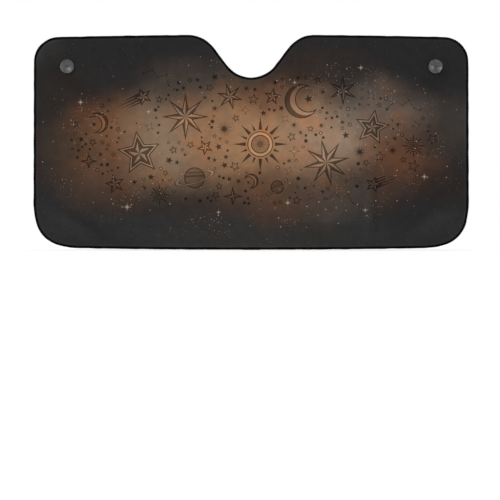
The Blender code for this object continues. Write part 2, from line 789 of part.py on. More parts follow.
def cloth_loops(stations, eyelet_centres):
    """The cloth's cut edge, which reaches into the folded tape, and its two eyelet holes."""
    edge = []
    for point, inward in stations:
        edge.append(point + inward * (WIRE_INSET + core_radius(point) + SEAT_GAP))
    loops = [edge]
    for x, z in eyelet_centres:
        loops.append([Vector(spot) for spot in arc((x, z), HOLE_RADIUS, 0, 360, TURNED_SIDES)])
    return loops


def cloth_face(bm, loops, shapes, y, ground):
    """Flat face of the cloth at depth y, with its shapes let into it; returns its boundary."""
    outlines = loops + [outline for outline, tone in shapes]
    points = [point for outline in outlines for point in outline]
    faces = []
    start = 0
    for outline in outlines:
        faces.append(list(range(start, start + len(outline))))
        start += len(outline)
    made = delaunay_2d_cdt(points, [], faces, 1, WELD_DISTANCE)
    places, triangles, sources, origins = made[0], made[2], made[3], made[5]
    verts = [bm.verts.new((place.x, y, place.y)) for place in places]
    holes = set(range(1, len(loops)))
    for triangle, under in zip(triangles, origins):
        if 0 not in under or holes.intersection(under):
            continue
        face = bm.faces.new([verts[index] for index in triangle])
        top = max(under) - len(loops)
        face.material_index = shapes[top][1] if top >= 0 else ground
    vertex_of = {}
    for index, inputs in enumerate(sources):
        for source in inputs:
            vertex_of[source] = verts[index]
    return [[vertex_of[index] for index in face] for face in faces[: len(loops)]]


def cloth_mesh(stations, eyelet_centres, back_slot):
    bm = bmesh.new()
    loops = cloth_loops(stations, eyelet_centres)
    front_y = CLOTH_Y - CLOTH_THICKNESS / 2
    back_y = CLOTH_Y + CLOTH_THICKNESS / 2
    front = cloth_face(bm, loops, print_shapes(loops), front_y, GROUND)
    back = cloth_face(bm, loops, [], back_y, back_slot)
    for front_rim, back_rim in zip(front, back):
        for index in range(len(front_rim)):
            wall = (front_rim[index - 1], front_rim[index], back_rim[index], back_rim[index - 1])
            bm.faces.new(wall).material_index = back_slot
    loose = [vert for vert in bm.verts if not vert.link_faces]
    bmesh.ops.delete(bm, geom=loose, context="VERTS")
    return mesh_from(bm, "shade_cloth")


def build_panel(root, stations, eyelet_centres):
    finishes = [printed_material(f"print_tone_{tone}", level) for tone, level in enumerate(TONE_LEVELS)]
    finishes.append(plain_material("silver_coating", srgb(176, 178, 180), 0.38, metallic=0.8))
    cloth = cloth_mesh(stations, eyelet_centres, len(finishes) - 1)
    finish_object("shade_cloth", cloth, finishes, root)
    tape = plain_material("black_tape", srgb(16, 16, 17), 0.85)
    binding = sweep("edge_binding", stations, binding_section, closed=True)
    finish_object("edge_binding", binding, [tape], root)


def build_frame_wire(root, stations):
    steel = plain_material("spring_steel", srgb(120, 122, 124), 0.35, metallic=1.0)
    wire = sweep("spring_wire", wire_stations(stations), wire_section, closed=False)
    finish_object("spring_wire", wire, [steel], root)
    plated = plain_material("plated_ferrule", srgb(168, 168, 164), 0.30, metallic=1.0)
    ferrule = turned("wire_ferrule", ferrule_profile(), Vector((1.0, 0.0, 0.0)), closed=True)
    middle = stations[0][0].y + WIRE_INSET
    finish_object("wire_ferrule", ferrule, [plated], root, (0.0, CLOTH_Y, middle))


def build_cup(root, side, centre):
    """One eyelet, its washer and the suction cup that turns in it, all on the cup's own axis."""
    axis = Vector((0.0, 1.0, 0.0))
    place = (centre[0], CLOTH_Y, centre[1])
    pieces = (
        ("eyelet_", eyelet_profile(), True, (srgb(150, 150, 148), 0.30, 1.0, 0.0)),
        ("eyelet_washer_", washer_profile(), True, (srgb(140, 140, 138), 0.34, 1.0, 0.0)),
        ("suction_cup_", cup_profile(), False, (srgb(205, 208, 210), 0.12, 0.0, 0.85)),
    )
    for stem, profile, closed, finish in pieces:
        name = stem + side
        mesh = turned(name, profile, axis, closed)
        finish_object(name, mesh, [plain_material(name, *finish)], root, place)


def main():
    clear_scene()
    root = bpy.data.objects.new("shade", None)
    bpy.context.scene.collection.objects.link(root)
    stations = edge_stations()
    reach = PANEL_WIDTH / 2 - CUP_FROM_SIDE
    height = EDGE_LIFT + LOWER_BOW + CORNER_HEIGHT - CUP_BELOW_TOP
    centres = {"left": (-reach, height), "right": (reach, height)}
    build_panel(root, stations, list(centres.values()))
    build_frame_wire(root, stations)
    for side, centre in centres.items():
        build_cup(root, side, centre)


main()
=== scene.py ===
"""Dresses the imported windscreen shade: printed cloth, sewn tape, eyelets and clear suction cups.

Lengths are in metres and angles in degrees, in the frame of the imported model.
"""

from math import acos, asin, cos, degrees, pi, radians, sin, sqrt, tan, tau
import random

import bmesh
import bpy
import numpy as np
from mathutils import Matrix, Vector
from mathutils.geometry import delaunay_2d_cdt


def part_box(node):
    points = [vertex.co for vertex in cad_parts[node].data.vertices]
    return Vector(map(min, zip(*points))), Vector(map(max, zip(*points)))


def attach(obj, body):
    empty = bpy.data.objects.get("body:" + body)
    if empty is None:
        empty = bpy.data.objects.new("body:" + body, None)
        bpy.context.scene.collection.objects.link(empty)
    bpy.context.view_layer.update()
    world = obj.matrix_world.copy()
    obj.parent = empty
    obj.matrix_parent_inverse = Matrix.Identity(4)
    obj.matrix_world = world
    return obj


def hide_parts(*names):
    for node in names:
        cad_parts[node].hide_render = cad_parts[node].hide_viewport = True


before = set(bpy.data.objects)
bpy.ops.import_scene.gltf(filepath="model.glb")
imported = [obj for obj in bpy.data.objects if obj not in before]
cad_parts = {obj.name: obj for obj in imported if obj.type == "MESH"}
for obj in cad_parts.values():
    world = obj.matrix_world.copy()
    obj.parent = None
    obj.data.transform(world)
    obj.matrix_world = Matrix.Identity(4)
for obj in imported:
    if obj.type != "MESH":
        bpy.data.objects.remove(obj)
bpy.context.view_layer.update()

# Outline of the bound edge, as in the model
PANEL_WIDTH = 1.420
CORNER_HEIGHT = 0.6835
UPPER_BOW = 0.0095
LOWER_BOW = 0.0085
SIDE_FLARE = 0.0018
UPPER_CORNER_RADIUS = 0.079
LOWER_CORNER_RADIUS = 0.100
LOWER_CORNER_EASE_RADIUS = 0.260
LOWER_CORNER_EASE_ANGLE = 15.0
NOTCH_DEPTH = 0.136
NOTCH_BOTTOM_RADIUS = 0.100
NOTCH_SHOULDER_RADIUS = 0.106
NOTCH_FLANK_ANGLE = 52.0

# Cloth, tape and wire
CLOTH_THICKNESS = 0.0008
TAPE_THICKNESS = 0.0005
BINDING_WIDTH = 0.0078
WIRE_RADIUS = 0.0008
FERRULE_LENGTH = 0.044
FERRULE_WALL = 0.00045
BULGE_BLEND = 0.012
SEAT_GAP = 0.0003

# Cups and eyelets
CUP_RADIUS = 0.0225
CUP_COLLAR_RADIUS = 0.0070
CUP_COLLAR_HEIGHT = 0.0012
CUP_HEIGHT = 0.0094
CUP_DISH_DEPTH = 0.0054
CUP_LIP_WIDTH = 0.0011
CUP_LIP_THICKNESS = 0.0006
NECK_RADIUS = 0.0032
HEAD_RADIUS = 0.0048
HEAD_HEIGHT = 0.0032
EYELET_WALL = 0.0007
EYELET_FLANGE_RADIUS = 0.0070
EYELET_LIP_WIDTH = 0.0011
EYELET_SHEET = 0.0005
WASHER_RADIUS = 0.0070
# Chamfers at the eyelet's mouth and lip, across and along Y, and of the washer's edges
EYELET_MOUTH = (0.0004, 0.00018)
EYELET_LIP = (0.0003, 0.0002)
WASHER_CHAMFER = 0.0001
BELL_ROUNDING = 0.0004
LIP_ROUNDING = 0.0003
STEM_MARGIN = 0.0001

# Print
GROUND, INK, SHADE, MIDDLE, PALE = range(5)
TONE_LEVELS = (1.0, 0.20, 0.38, 0.74, 1.42)
PRINT_SEED = 14
PRINT_MARGIN = 0.020
PRINT_SPACING = 0.0035
SMALL_MOTIFS = 250
PLACING_TRIES = 40
SMALLEST_SCALE = 0.75
LARGEST_SCALE = 1.20
BAND_HALF_WIDTH = 0.42
BAND_HALF_HEIGHT = 0.31
BAND_MIDDLE = 0.53
MOTIF_UNIT = 0.010
LINE_WIDTH = 0.0031
ROUND_SIDES = 28
SMALL_SIDES = 12
WIDE_STAR = 0.46
SLIM_STAR = 0.42
# Frames of the broad star: inset in lines, and tone
FRAMES = ((1.0, PALE), (2.4, INK), (3.2, SHADE))
FRAMED_HEART = 4.6
SUN_RAYS = 16
LONG_RAY = (1.0, 0.13)
SHORT_RAY = (0.78, 0.09)
SUN_HALO = 0.53
SUN_DISC = 0.47
SUN_CORE = 0.34
SUN_HEART = 0.20
MOON_HOLLOW = 0.735
MOON_SHIFT = 0.42
MOON_SHADE = 0.88
MOON_STAR = 0.26
PLANET_DISC = 0.52
PLANET_BANDS = ((0.22, 0.30), (0.02, 0.16))
RING_HOLE = 0.80
RING_FLATNESS = 0.30
RING_SLANT = 0.28
RING_FRONT = (172, 368)
COMET_HEAD = 0.46
COMET_STREAKS = ((0.20, -0.62), (0.07, -1.0), (-0.07, -0.82), (-0.20, -0.48))
STREAK_HALF_WIDTH = 0.045
STAR_CHAIN = ((-1.0, 0.10), (-0.52, 0.42), (-0.10, 0.05), (0.36, 0.30), (0.62, -0.28), (1.0, -0.44))
CHAIN_STAR = 0.09

# Fineness
TURNED_SIDES = 96
HOLE_SIDES = 48
OUTLINE_STEP = 0.004
EDGE_STEP = 0.0055
TAPE_STEP = 0.0052
WELD = 0.000001
PLACES_AT_ONCE = 2000
# Rows of points in the cloth beside the tape and round the eyelets, then an even grid
TAPE_ROWS = (0.0086, 0.0115, 0.016, 0.023)
EYELET_ROWS = (0.0085, 0.014, 0.022)
ROW_SIDES = 24
GRID_STEP = 0.011
GRID_ROW = GRID_STEP * 0.866
GRID_COLUMNS = range(-66, 67)
GRID_TOP = 0.72
GRID_FROM_EDGE = 0.030
GRID_FROM_EYELET = 0.028

# Tape and stitches
LOOSE_MEAN = 0.00042
LOOSE_WAVE = 0.00022
LOOSEST = 0.0012
# Waves of the loose fold: cycles round the edge, phase and weight
LOOSE_WAVES = ((41, 1.0, 1.0), (67, 2.2, 0.8), (97, 0.4, 0.6))
# The tape's ends overlap beside the ferrule
OVERLAP_MIDDLE = 0.052
OVERLAP_HALF = 0.020
OVERLAP_BLEND = 0.0012
OVERLAP_RISE = 0.0003
TAPE_WANDER = 0.00022
CUT_EDGE_GIRTH = 0.001
# Face of the tape: step from its cut edge or from the stitches, and rise
CUT_EDGE_STEPS = ((0.0, -0.00014), (-0.0003, 0.0), (-0.0009, 0.0))
STITCH_STEPS = ((0.0002, -0.00022), (-0.0002, -0.00022), (-0.0009, 0.0), (-0.0020, 0.00016))
STITCH_PITCH = 0.0032
STITCH_LENGTH = 0.0026
STITCH_INSET = 0.0060
STITCH_SINK = 0.00012
STITCH_SLANT = 0.07
STITCH_SHIFT = 0.0001
STITCH_FLATNESS = 1.25
STITCH_SIDES = 6
# Rings of a stitch: share of its length, share of its girth, height in half radii
STITCH_RINGS = (
    (-0.5, 0.25, -0.9), (-0.42, 0.8, -0.3), (-0.2, 1.0, 0.3),
    (0.2, 1.0, 0.3), (0.42, 0.8, -0.3), (0.5, 0.25, -0.9),
)
THREAD_RADIUS = 0.00026
WEAVE_PITCH = 0.0009

# Depths along Y that follow from the sizes above
BORE_RADIUS = NECK_RADIUS + SEAT_GAP
BARREL_RADIUS = BORE_RADIUS + EYELET_WALL
HOLE_RADIUS = BARREL_RADIUS + SEAT_GAP
FERRULE_RADIUS = WIRE_RADIUS + SEAT_GAP + FERRULE_WALL
FLANGE_BACK = CLOTH_THICKNESS / 2 + SEAT_GAP
FLANGE_FRONT = FLANGE_BACK + EYELET_SHEET
WASHER_BACK = FLANGE_BACK + EYELET_SHEET
LIP_FRONT = WASHER_BACK + SEAT_GAP
LIP_BACK = LIP_FRONT + EYELET_SHEET
COLLAR_BACK = FLANGE_FRONT + SEAT_GAP
HEAD_FRONT = LIP_BACK + SEAT_GAP
HEAD_BACK = HEAD_FRONT + HEAD_HEIGHT
RIM_FRONT = COLLAR_BACK + CUP_HEIGHT
CLOTH_Y = (RIM_FRONT - HEAD_BACK) / 2
WIRE_INSET = WIRE_RADIUS + SEAT_GAP + TAPE_THICKNESS
EDGE_LIFT = FERRULE_RADIUS - WIRE_RADIUS


# Small helpers

def srgb(*screen):
    """Linear colour from 8-bit screen values."""
    shares = [value / 255 for value in screen]
    linear = [share / 12.92 if share <= 0.04045 else ((share + 0.055) / 1.055) ** 2.4 for share in shares]
    return (*linear, 1.0)


def eased(value):
    """Smooth step from 0 to 1 of an array or number."""
    value = np.clip(value, 0.0, 1.0)
    return value * value * (3 - 2 * value)


def cleaned(mesh):
    """Drop points that no face uses and turn every face outwards."""
    bm = bmesh.new()
    bm.from_mesh(mesh)
    bmesh.ops.delete(bm, geom=[vert for vert in bm.verts if not vert.link_faces], context="VERTS")
    bmesh.ops.recalc_face_normals(bm, faces=bm.faces[:])
    bm.to_mesh(mesh)
    bm.free()
    return mesh


def tube_faces(rings, sides, start=0, closed=False):
    """Faces between rings of points; a closed tube joins its last ring to its first."""
    faces = []
    for ring in range(rings if closed else rings - 1):
        low, high = start + ring * sides, start + (ring + 1) % rings * sides
        for side in range(sides):
            beside = (side + 1) % sides
            faces.append((low + side, low + beside, high + beside, high + side))
    return faces


def placed_object(name, data):
    made = bpy.data.objects.new(name, data)
    bpy.context.scene.collection.objects.link(made)
    return made


def add_piece(name, mesh, materials, body, replaced=(), sharp=40.0):
    """Make an object from a mesh and tie it to its body, slot and the solids it stands for."""
    for material in materials:
        mesh.materials.append(material)
    mesh.shade_smooth()
    mesh.set_sharp_from_angle(angle=radians(sharp))
    piece = placed_object(name, mesh)
    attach(piece, body)
    if replaced:
        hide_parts(*replaced)
    return piece


# Outline

def arc(centre, radius, start, stop, steps):
    """Points along an arc, leaving out its first one."""
    angles = [radians(start + (stop - start) * step / steps) for step in range(1, steps + 1)]
    return [(centre[0] + radius * cos(angle), centre[1] + radius * sin(angle)) for angle in angles]


def straight(start, stop, steps):
    """Points along a straight line, leaving out its first one."""
    shares = [step / steps for step in range(1, steps + 1)]
    return [tuple(low + (high - low) * share for low, high in zip(start, stop)) for share in shares]


def eased_corner(start):
    ease = LOWER_CORNER_EASE_ANGLE
    stretches = (
        (LOWER_CORNER_EASE_RADIUS, -90, ease - 90, 12),
        (LOWER_CORNER_RADIUS, ease - 90, -ease, 24),
        (LOWER_CORNER_EASE_RADIUS, -ease, 0, 12),
    )
    points = [start]
    for radius, first, last, count in stretches:
        angle = radians(first)
        end = points[-1]
        centre = (end[0] - radius * cos(angle), end[1] - radius * sin(angle))
        points += arc(centre, radius, first, last, count)
    return points[1:]


def eased_corner_leg():
    ease = radians(LOWER_CORNER_EASE_ANGLE)
    reach = LOWER_CORNER_EASE_RADIUS * (1 + sin(ease) - cos(ease))
    return reach + LOWER_CORNER_RADIUS * (cos(ease) - sin(ease))


def bowed(point):
    """Bow the long edges outwards and widen the panel towards its lower corners."""
    x, z = point
    height = z / CORNER_HEIGHT
    half = PANEL_WIDTH / 2
    middle = 1 - (x / half) ** 2
    widest = eased_corner_leg() / CORNER_HEIGHT
    wide = x + (x / half) * SIDE_FLARE * (widest - height)
    tall = z + middle * (UPPER_BOW * height - LOWER_BOW * (1 - height))
    return (wide, tall + LOWER_BOW + EDGE_LIFT)


def bound_edge():
    """Closed outline of the bound edge, counter-clockwise from the middle of the lower edge."""
    half, top, corner = PANEL_WIDTH / 2, CORNER_HEIGHT, UPPER_CORNER_RADIUS
    shoulder, bottom = NOTCH_SHOULDER_RADIUS, NOTCH_BOTTOM_RADIUS
    flank = radians(NOTCH_FLANK_ANGLE)
    drop = NOTCH_DEPTH - (bottom + shoulder) * (1 - cos(flank))
    notch_half = (bottom + shoulder) * sin(flank) + drop / tan(flank)
    middle = top - NOTCH_DEPTH + bottom
    points = [(0.0, 0.0)]
    points += straight(points[-1], (half - eased_corner_leg(), 0.0), 90)
    points += eased_corner(points[-1])
    points += straight(points[-1], (half, top - corner), 60)
    points += arc((half - corner, top - corner), corner, 0, 90, 28)
    points += straight(points[-1], (notch_half, top), 70)
    points += arc((notch_half, top - shoulder), shoulder, 90, 90 + NOTCH_FLANK_ANGLE, 24)
    points += straight(points[-1], (bottom * sin(flank), middle - bottom * cos(flank)), 6)
    points += arc((0.0, middle), bottom, NOTCH_FLANK_ANGLE - 90, -90, 24)
    right = [bowed(point) for point in points]
    return np.array(right + [(-x, z) for x, z in reversed(right[1:-1])])


def resampled(loop, step):
    """Points at even steps along a closed loop."""
    closed = np.vstack([loop, loop[:1]])
    along = np.concatenate([[0.0], np.cumsum(np.hypot(*np.diff(closed, axis=0).T))])
    count = max(3, round(along[-1] / step))
    spots = np.arange(count) * along[-1] / count
    return np.column_stack([np.interp(spots, along, closed[:, axis]) for axis in (0, 1)])


def edge_points(step):
    """Points at even steps along the bound edge, and the inward direction at each."""
    edge = resampled(bound_edge(), step)
    tangent = np.roll(edge, -1, axis=0) - np.roll(edge, 1, axis=0)
    tangent /= np.hypot(*tangent.T)[:, None]
    return edge, np.column_stack([-tangent[:, 1], tangent[:, 0]])


def nearest_on_edge(places, loop):
    """Distance of each place from a closed loop, and how far along the loop the nearest point is."""
    runs = np.roll(loop, -1, axis=0) - loop
    squares = (runs ** 2).sum(1)
    lengths = np.sqrt(squares)
    before = np.concatenate([[0.0], np.cumsum(lengths)[:-1]])
    found = []
    for first in range(0, len(places), PLACES_AT_ONCE):
        gap = places[first:first + PLACES_AT_ONCE, None, :] - loop[None, :, :]
        share = np.clip((gap * runs).sum(2) / squares, 0.0, 1.0)
        miss = np.hypot(*(gap - share[..., None] * runs).transpose(2, 0, 1))
        rows, best = np.arange(len(gap)), miss.argmin(1)
        found.append((miss[rows, best], before[best] + share[rows, best] * lengths[best]))
    return [np.concatenate(parts) for parts in zip(*found)]


def core_radius(x, z):
    """Radius of what lies in the fold: the wire, or the ferrule where it is."""
    past_end = np.abs(x) - FERRULE_LENGTH / 2 - SEAT_GAP
    share = np.clip(1 - past_end / BULGE_BLEND, 0.0, 1.0) * (z < CORNER_HEIGHT / 2)
    return WIRE_RADIUS + (FERRULE_RADIUS - WIRE_RADIUS) * share


EDGE = resampled(bound_edge(), OUTLINE_STEP)
EDGE_LENGTH = np.hypot(*(np.roll(EDGE, -1, axis=0) - EDGE).T).sum()
CUP_CENTRES = {}
for side in ("left", "right"):
    low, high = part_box("suction_cup_" + side)
    CUP_CENTRES[side] = ((low.x + high.x) / 2, (low.z + high.z) / 2)


# Lie of the cloth

# Soft creases: start, end, half-width, and height, which is below 0 where they bulge to the front
CREASES = (
    ((-0.640, 0.156), (-0.450, 0.026), 0.013, 0.0014),
    ((-0.672, 0.128), (-0.500, 0.018), 0.022, -0.0015),
    ((-0.560, 0.102), (-0.260, 0.098), 0.009, -0.0008),
    ((0.665, 0.140), (0.500, 0.018), 0.026, -0.0015),
    ((0.630, 0.170), (0.460, 0.030), 0.016, 0.0010),
    ((0.404, 0.235), (0.407, 0.040), 0.012, 0.0014),
    ((0.376, 0.225), (0.378, 0.040), 0.015, -0.0012),
    ((0.100, 0.100), (0.320, 0.096), 0.009, -0.0009),
    ((-0.690, 0.620), (-0.400, 0.420), 0.028, 0.0012),
    ((0.690, 0.620), (0.420, 0.440), 0.028, 0.0012),
    ((-0.190, 0.620), (-0.420, 0.480), 0.022, -0.0013),
    ((0.190, 0.620), (0.400, 0.490), 0.022, -0.0013),
)
# Painted sheen and shade of the creases: how much lighter the cloth is for each metre that a crease bulges
# to the front, and darker where it bulges to the back
PAINTED_CREASE_LIGHT = 160.0
# Long waves over the whole cloth
WAVES = 7
WAVE_LENGTHS = (0.16, 0.42)
WAVE_HEIGHT = 0.00034
WAVE_BLEND = 0.050
# Ripples at the tape: cycles round the edge and height
RIPPLES = ((229, 0.00016), (187, 0.00012), (311, 0.00008))
RIPPLE_GROUPS = 13
RIPPLE_PHASE = 9000
RIPPLE_BLEND = 0.005
RIPPLE_REACH = 0.013
TAPE_CLEARANCE = 0.0006
EYELET_CLEARANCE = 0.001
EYELET_BLEND = 0.030
# How far the lighter rim reaches in from the tape
RIM_REACH = 0.0035


def crease_height(places):
    height = np.zeros(len(places))
    for start, end, width, rise in CREASES:
        start, run = np.array(start), np.array(end) - np.array(start)
        share = np.clip((places - start) @ run / (run @ run), 0.0, 1.0)
        miss = np.hypot(*(places - start - share[:, None] * run).T)
        taper = np.sin(pi * np.clip(share, 0.02, 0.98)) ** 0.7
        height += rise * taper * np.exp(-(miss / width) ** 2)
    return height


def cloth_lift(places):
    """How far the stretched cloth stands off its plane, which is nothing at the tape and the eyelets."""
    distance, along = nearest_on_edge(places, EDGE)
    inside = distance - BINDING_WIDTH - TAPE_CLEARANCE
    chance = random.Random(PRINT_SEED)
    lift = np.zeros(len(places))
    for wave in range(WAVES):
        heading = chance.uniform(0, pi)
        length = chance.uniform(*WAVE_LENGTHS)
        phase = chance.uniform(0, tau)
        across = places[:, 0] * cos(heading) + places[:, 1] * sin(heading)
        lift += WAVE_HEIGHT * np.sin(tau * across / length + phase)
    lift += crease_height(places)
    lift *= eased(inside / WAVE_BLEND)
    fade = eased(inside / RIPPLE_BLEND) * np.exp(-np.clip(inside, 0, 1) / RIPPLE_REACH)
    for cycles, weight in RIPPLES:
        ripple = np.sin(tau * cycles * along / EDGE_LENGTH + weight * RIPPLE_PHASE)
        strength = 0.6 + 0.4 * np.sin(tau * RIPPLE_GROUPS * along / EDGE_LENGTH + cycles)
        lift += weight * ripple * strength * fade
    for centre in CUP_CENTRES.values():
        away = np.hypot(*(places - np.array(centre)).T)
        lift *= eased((away - EYELET_FLANGE_RADIUS - EYELET_CLEARANCE) / EYELET_BLEND)
    return lift


# Motifs of the print, each about its centre with a reach of 1

def star(points, inner):
    """Outline of a plain star with its tips at radius 1."""
    outline = []
    for index in range(points * 2):
        angle = radians(90) + pi * index / points
        reach = inner if index % 2 else 1.0
        outline.append((reach * cos(angle), reach * sin(angle)))
    return outline


def disc(radius, sides=ROUND_SIDES):
    return arc((0.0, 0.0), radius, 0, 360, sides)


def moved(outline, size, x=0.0, z=0.0):
    return [(x + size * px, z + size * pz) for px, pz in outline]


def inset(outline, depth):
    """Outline moved inwards by one distance all round, with sharp corners."""
    result = []
    for index, corner in enumerate(outline):
        before = (Vector(corner) - Vector(outline[index - 1])).normalized()
        after = (Vector(outline[(index + 1) % len(outline)]) - Vector(corner)).normalized()
        first, second = Vector((-before.y, before.x)), Vector((-after.y, after.x))
        shift = (first + second) * depth / (1 + first.dot(second))
        result.append((corner[0] + shift.x, corner[1] + shift.y))
    return result


def facets(outline):
    """Ridged rays of a star: one half of each in shade, the other pale."""
    shapes = []
    for index in range(0, len(outline), 2):
        shapes.append(([(0.0, 0.0), outline[index - 1], outline[index]], SHADE))
        shapes.append(([(0.0, 0.0), outline[index], outline[index + 1]], PALE))
    return shapes


def ridged(points, inner):
    """Kind of star with that many ridged rays inside a line."""
    outline = star(points, inner)
    return lambda line: [(outline, INK)] + facets(inset(outline, line))


def lined(outline, share, most, tone):
    """Kind of motif with a line of at most that width round a field of one tone."""
    return lambda line: [(outline, INK), (inset(outline, min(line * share, most)), tone)]


def solid(outline):
    """Kind of motif that is all ink."""
    return lambda line: [(outline, INK)]


def framed_star(line):
    """Ridged five-point star inside a broad frame."""
    outline = star(5, WIDE_STAR)
    shapes = [(outline, INK)] + [(inset(outline, line * lines), tone) for lines, tone in FRAMES]
    return shapes + facets(inset(outline, line * FRAMED_HEART))


def sun(line):
    """Ringed disc with long and short rays."""
    shapes = []
    for index in range(SUN_RAYS):
        angle = tau * index / SUN_RAYS
        reach, foot = SHORT_RAY if index % 2 else LONG_RAY
        tip = (reach * cos(angle), reach * sin(angle))
        left, right = [
            (SUN_HALO * cos(angle + turn), SUN_HALO * sin(angle + turn)) for turn in (foot, -foot)
        ]
        shapes.append(([right, tip, left], INK))
    shapes += [(disc(SUN_DISC), INK), (disc(SUN_DISC - line), PALE)]
    shapes += [(disc(SUN_CORE), INK), (disc(SUN_CORE - line), MIDDLE)]
    return shapes + [(moved(star(8, WIDE_STAR), SUN_HEART), SHADE)]


def lune(radius, hollow, shift):
    """Outline between a circle and another one, shifted to its right, that cuts it hollow."""
    x = (radius ** 2 - hollow ** 2 + shift ** 2) / (2 * shift)
    horn = degrees(acos(x / radius))
    hollow_horn = degrees(acos((x - shift) / hollow))
    outer = arc((0.0, 0.0), radius, horn, 360 - horn, ROUND_SIDES)
    return outer + arc((shift, 0.0), hollow, 360 - hollow_horn, hollow_horn, ROUND_SIDES)


def crescent(line):
    """Crescent shaded along its back, with a small star in its opening."""
    shapes = [(lune(1.0, MOON_HOLLOW, MOON_SHIFT), INK)]
    shapes.append((lune(1.0 - line, MOON_HOLLOW + line, MOON_SHIFT), PALE))
    shapes.append((lune(1.0 - line, MOON_SHADE, MOON_SHIFT / 2), SHADE))
    return shapes + [(moved(star(5, SLIM_STAR), MOON_STAR, MOON_SHIFT), INK)]


def planet(line):
    """Banded disc inside a slanted ring, whose near half passes in front."""
    def ring(size, first=0, last=360):
        round_points = arc((0.0, 0.0), size, first, last, ROUND_SIDES)
        return [(x, z * RING_FLATNESS + x * RING_SLANT) for x, z in round_points]

    def near_half(outer, inner):
        return ring(outer, *RING_FRONT) + ring(inner, *reversed(RING_FRONT))

    body = PLANET_DISC - line
    shapes = [(ring(1.0), INK), (ring(1.0 - line), PALE)]
    shapes += [(ring(RING_HOLE), INK), (ring(RING_HOLE - line), GROUND)]
    shapes += [(disc(PLANET_DISC), INK), (disc(body), MIDDLE)]
    for band in PLANET_BANDS:
        low, high = [degrees(asin(height / body)) for height in band]
        left = arc((0.0, 0.0), body, 180 - high, 180 - low, 3)
        shapes.append((arc((0.0, 0.0), body, low, high, 3) + left, SHADE))
    shapes.append((near_half(1.0, RING_HOLE - line), INK))
    return shapes + [(near_half(1.0 - line, RING_HOLE), PALE)]


def comet(line):
    """Ridged star with tapering streaks behind it."""
    shapes = []
    for rise, reach in COMET_STREAKS:
        upper, lower = rise + STREAK_HALF_WIDTH, rise - STREAK_HALF_WIDTH
        shapes.append(([(COMET_HEAD, upper), (reach, rise), (COMET_HEAD, lower)], INK))
    head = ridged(5, WIDE_STAR)(line / COMET_HEAD)
    return shapes + [(moved(outline, COMET_HEAD, 1.0 - COMET_HEAD), tone) for outline, tone in head]


def constellation(line):
    """Small stars joined by hairlines."""
    shapes = []
    for start, end in zip(STAR_CHAIN, STAR_CHAIN[1:]):
        start, end = Vector(start), Vector(end)
        along = (end - start).normalized()
        side = Vector((-along.y, along.x)) * line / 4
        start, end = start + along * CHAIN_STAR, end - along * CHAIN_STAR
        shapes.append(([tuple(spot) for spot in (start - side, end - side, end + side, start + side)], INK))
    return shapes + [(moved(star(4, 0.36), CHAIN_STAR, x, z), INK) for x, z in STAR_CHAIN]


def small_ring(line):
    return [(disc(1.0, SMALL_SIDES), INK), (disc(max(1 - line * 0.8, 0.35), SMALL_SIDES), PALE)]


burst = solid(star(14, 0.24))
sparkle = lined(star(4, 0.24), 0.5, 0.07, PALE)
lined_star = lined(star(5, WIDE_STAR), 0.75, 0.17, GROUND)
solid_star = solid(star(5, SLIM_STAR))
small_burst = solid(star(8, 0.26))
dot = solid(disc(1.0, SMALL_SIDES))


# Large motifs: kind, place across and up the panel as shares of it, radius in motif units, turn
LARGE_MOTIFS = (
    (sun, 0.021, 0.505, 9.0, 0),
    (ridged(8, 0.34), -0.151, 0.636, 7.8, 0),
    (ridged(8, 0.36), 0.173, 0.417, 7.8, 12),
    (framed_star, -0.257, 0.461, 7.4, 8),
    (framed_star, 0.278, 0.585, 6.0, -10),
    (planet, -0.130, 0.344, 6.6, 0),
    (planet, 0.060, 0.300, 4.2, 20),
    (crescent, 0.116, 0.710, 5.6, 18),
    (crescent, -0.352, 0.607, 3.4, 200),
    (crescent, 0.000, 0.329, 2.4, -150),
    (ridged(6, 0.32), 0.211, 0.761, 5.0, 0),
    (ridged(6, 0.34), -0.049, 0.732, 4.6, 15),
    (comet, -0.271, 0.710, 6.6, 25),
    (comet, 0.303, 0.329, 6.2, -160),
    (sun, 0.373, 0.497, 4.2, 0),
    (sun, -0.211, 0.263, 3.8, 0),
    (ridged(4, 0.28), -0.042, 0.256, 3.4, 0),
    (ridged(4, 0.28), -0.373, 0.424, 3.0, 0),
    (ridged(5, 0.42), 0.049, 0.732, 3.0, -8),
    (ridged(5, 0.42), -0.313, 0.315, 3.4, 14),
    (ridged(5, 0.42), -0.106, 0.490, 2.8, 30),
    (burst, 0.250, 0.468, 2.6, 5),
    (burst, -0.062, 0.578, 2.8, 0),
    (burst, 0.325, 0.475, 2.0, 0),
    (sparkle, 0.099, 0.471, 2.0, 0),
    (sparkle, -0.013, 0.667, 1.7, 0),
    (constellation, -0.211, 0.819, 5.5, -12),
    (constellation, 0.352, 0.688, 5.0, 10),
    (constellation, 0.211, 0.241, 5.0, 4),
)
LARGE_REACH = 0.94
# Small motifs, dealt in turn: kind and radius in motif units
SMALL_KINDS = (
    (lined_star, 1.80), (dot, 0.45), (solid_star, 1.10), (small_ring, 0.60),
    (sparkle, 1.90), (dot, 0.36), (lined_star, 1.25), (small_burst, 1.30),
    (solid_star, 0.75), (small_ring, 0.46), (dot, 0.55), (lined_star, 0.90),
)


def is_inside(point, loop):
    inside = False
    for index, end in enumerate(loop):
        start = loop[index - 1]
        if (start[1] > point[1]) != (end[1] > point[1]):
            crossing = start[0] + (point[1] - start[1]) * (end[0] - start[0]) / (end[1] - start[1])
            inside = inside != (crossing > point[0])
    return inside


def fits(point, radius, loops, taken):
    """A motif keeps clear of the cloth's edges and of the motifs already placed."""
    if any((point - place).length < radius + size + PRINT_SPACING for place, size in taken):
        return False
    if not is_inside(point, loops[0]):
        return False
    place = np.array([[point.x, point.y]])
    return all(nearest_on_edge(place, loop)[0][0] > radius + PRINT_MARGIN for loop in loops)


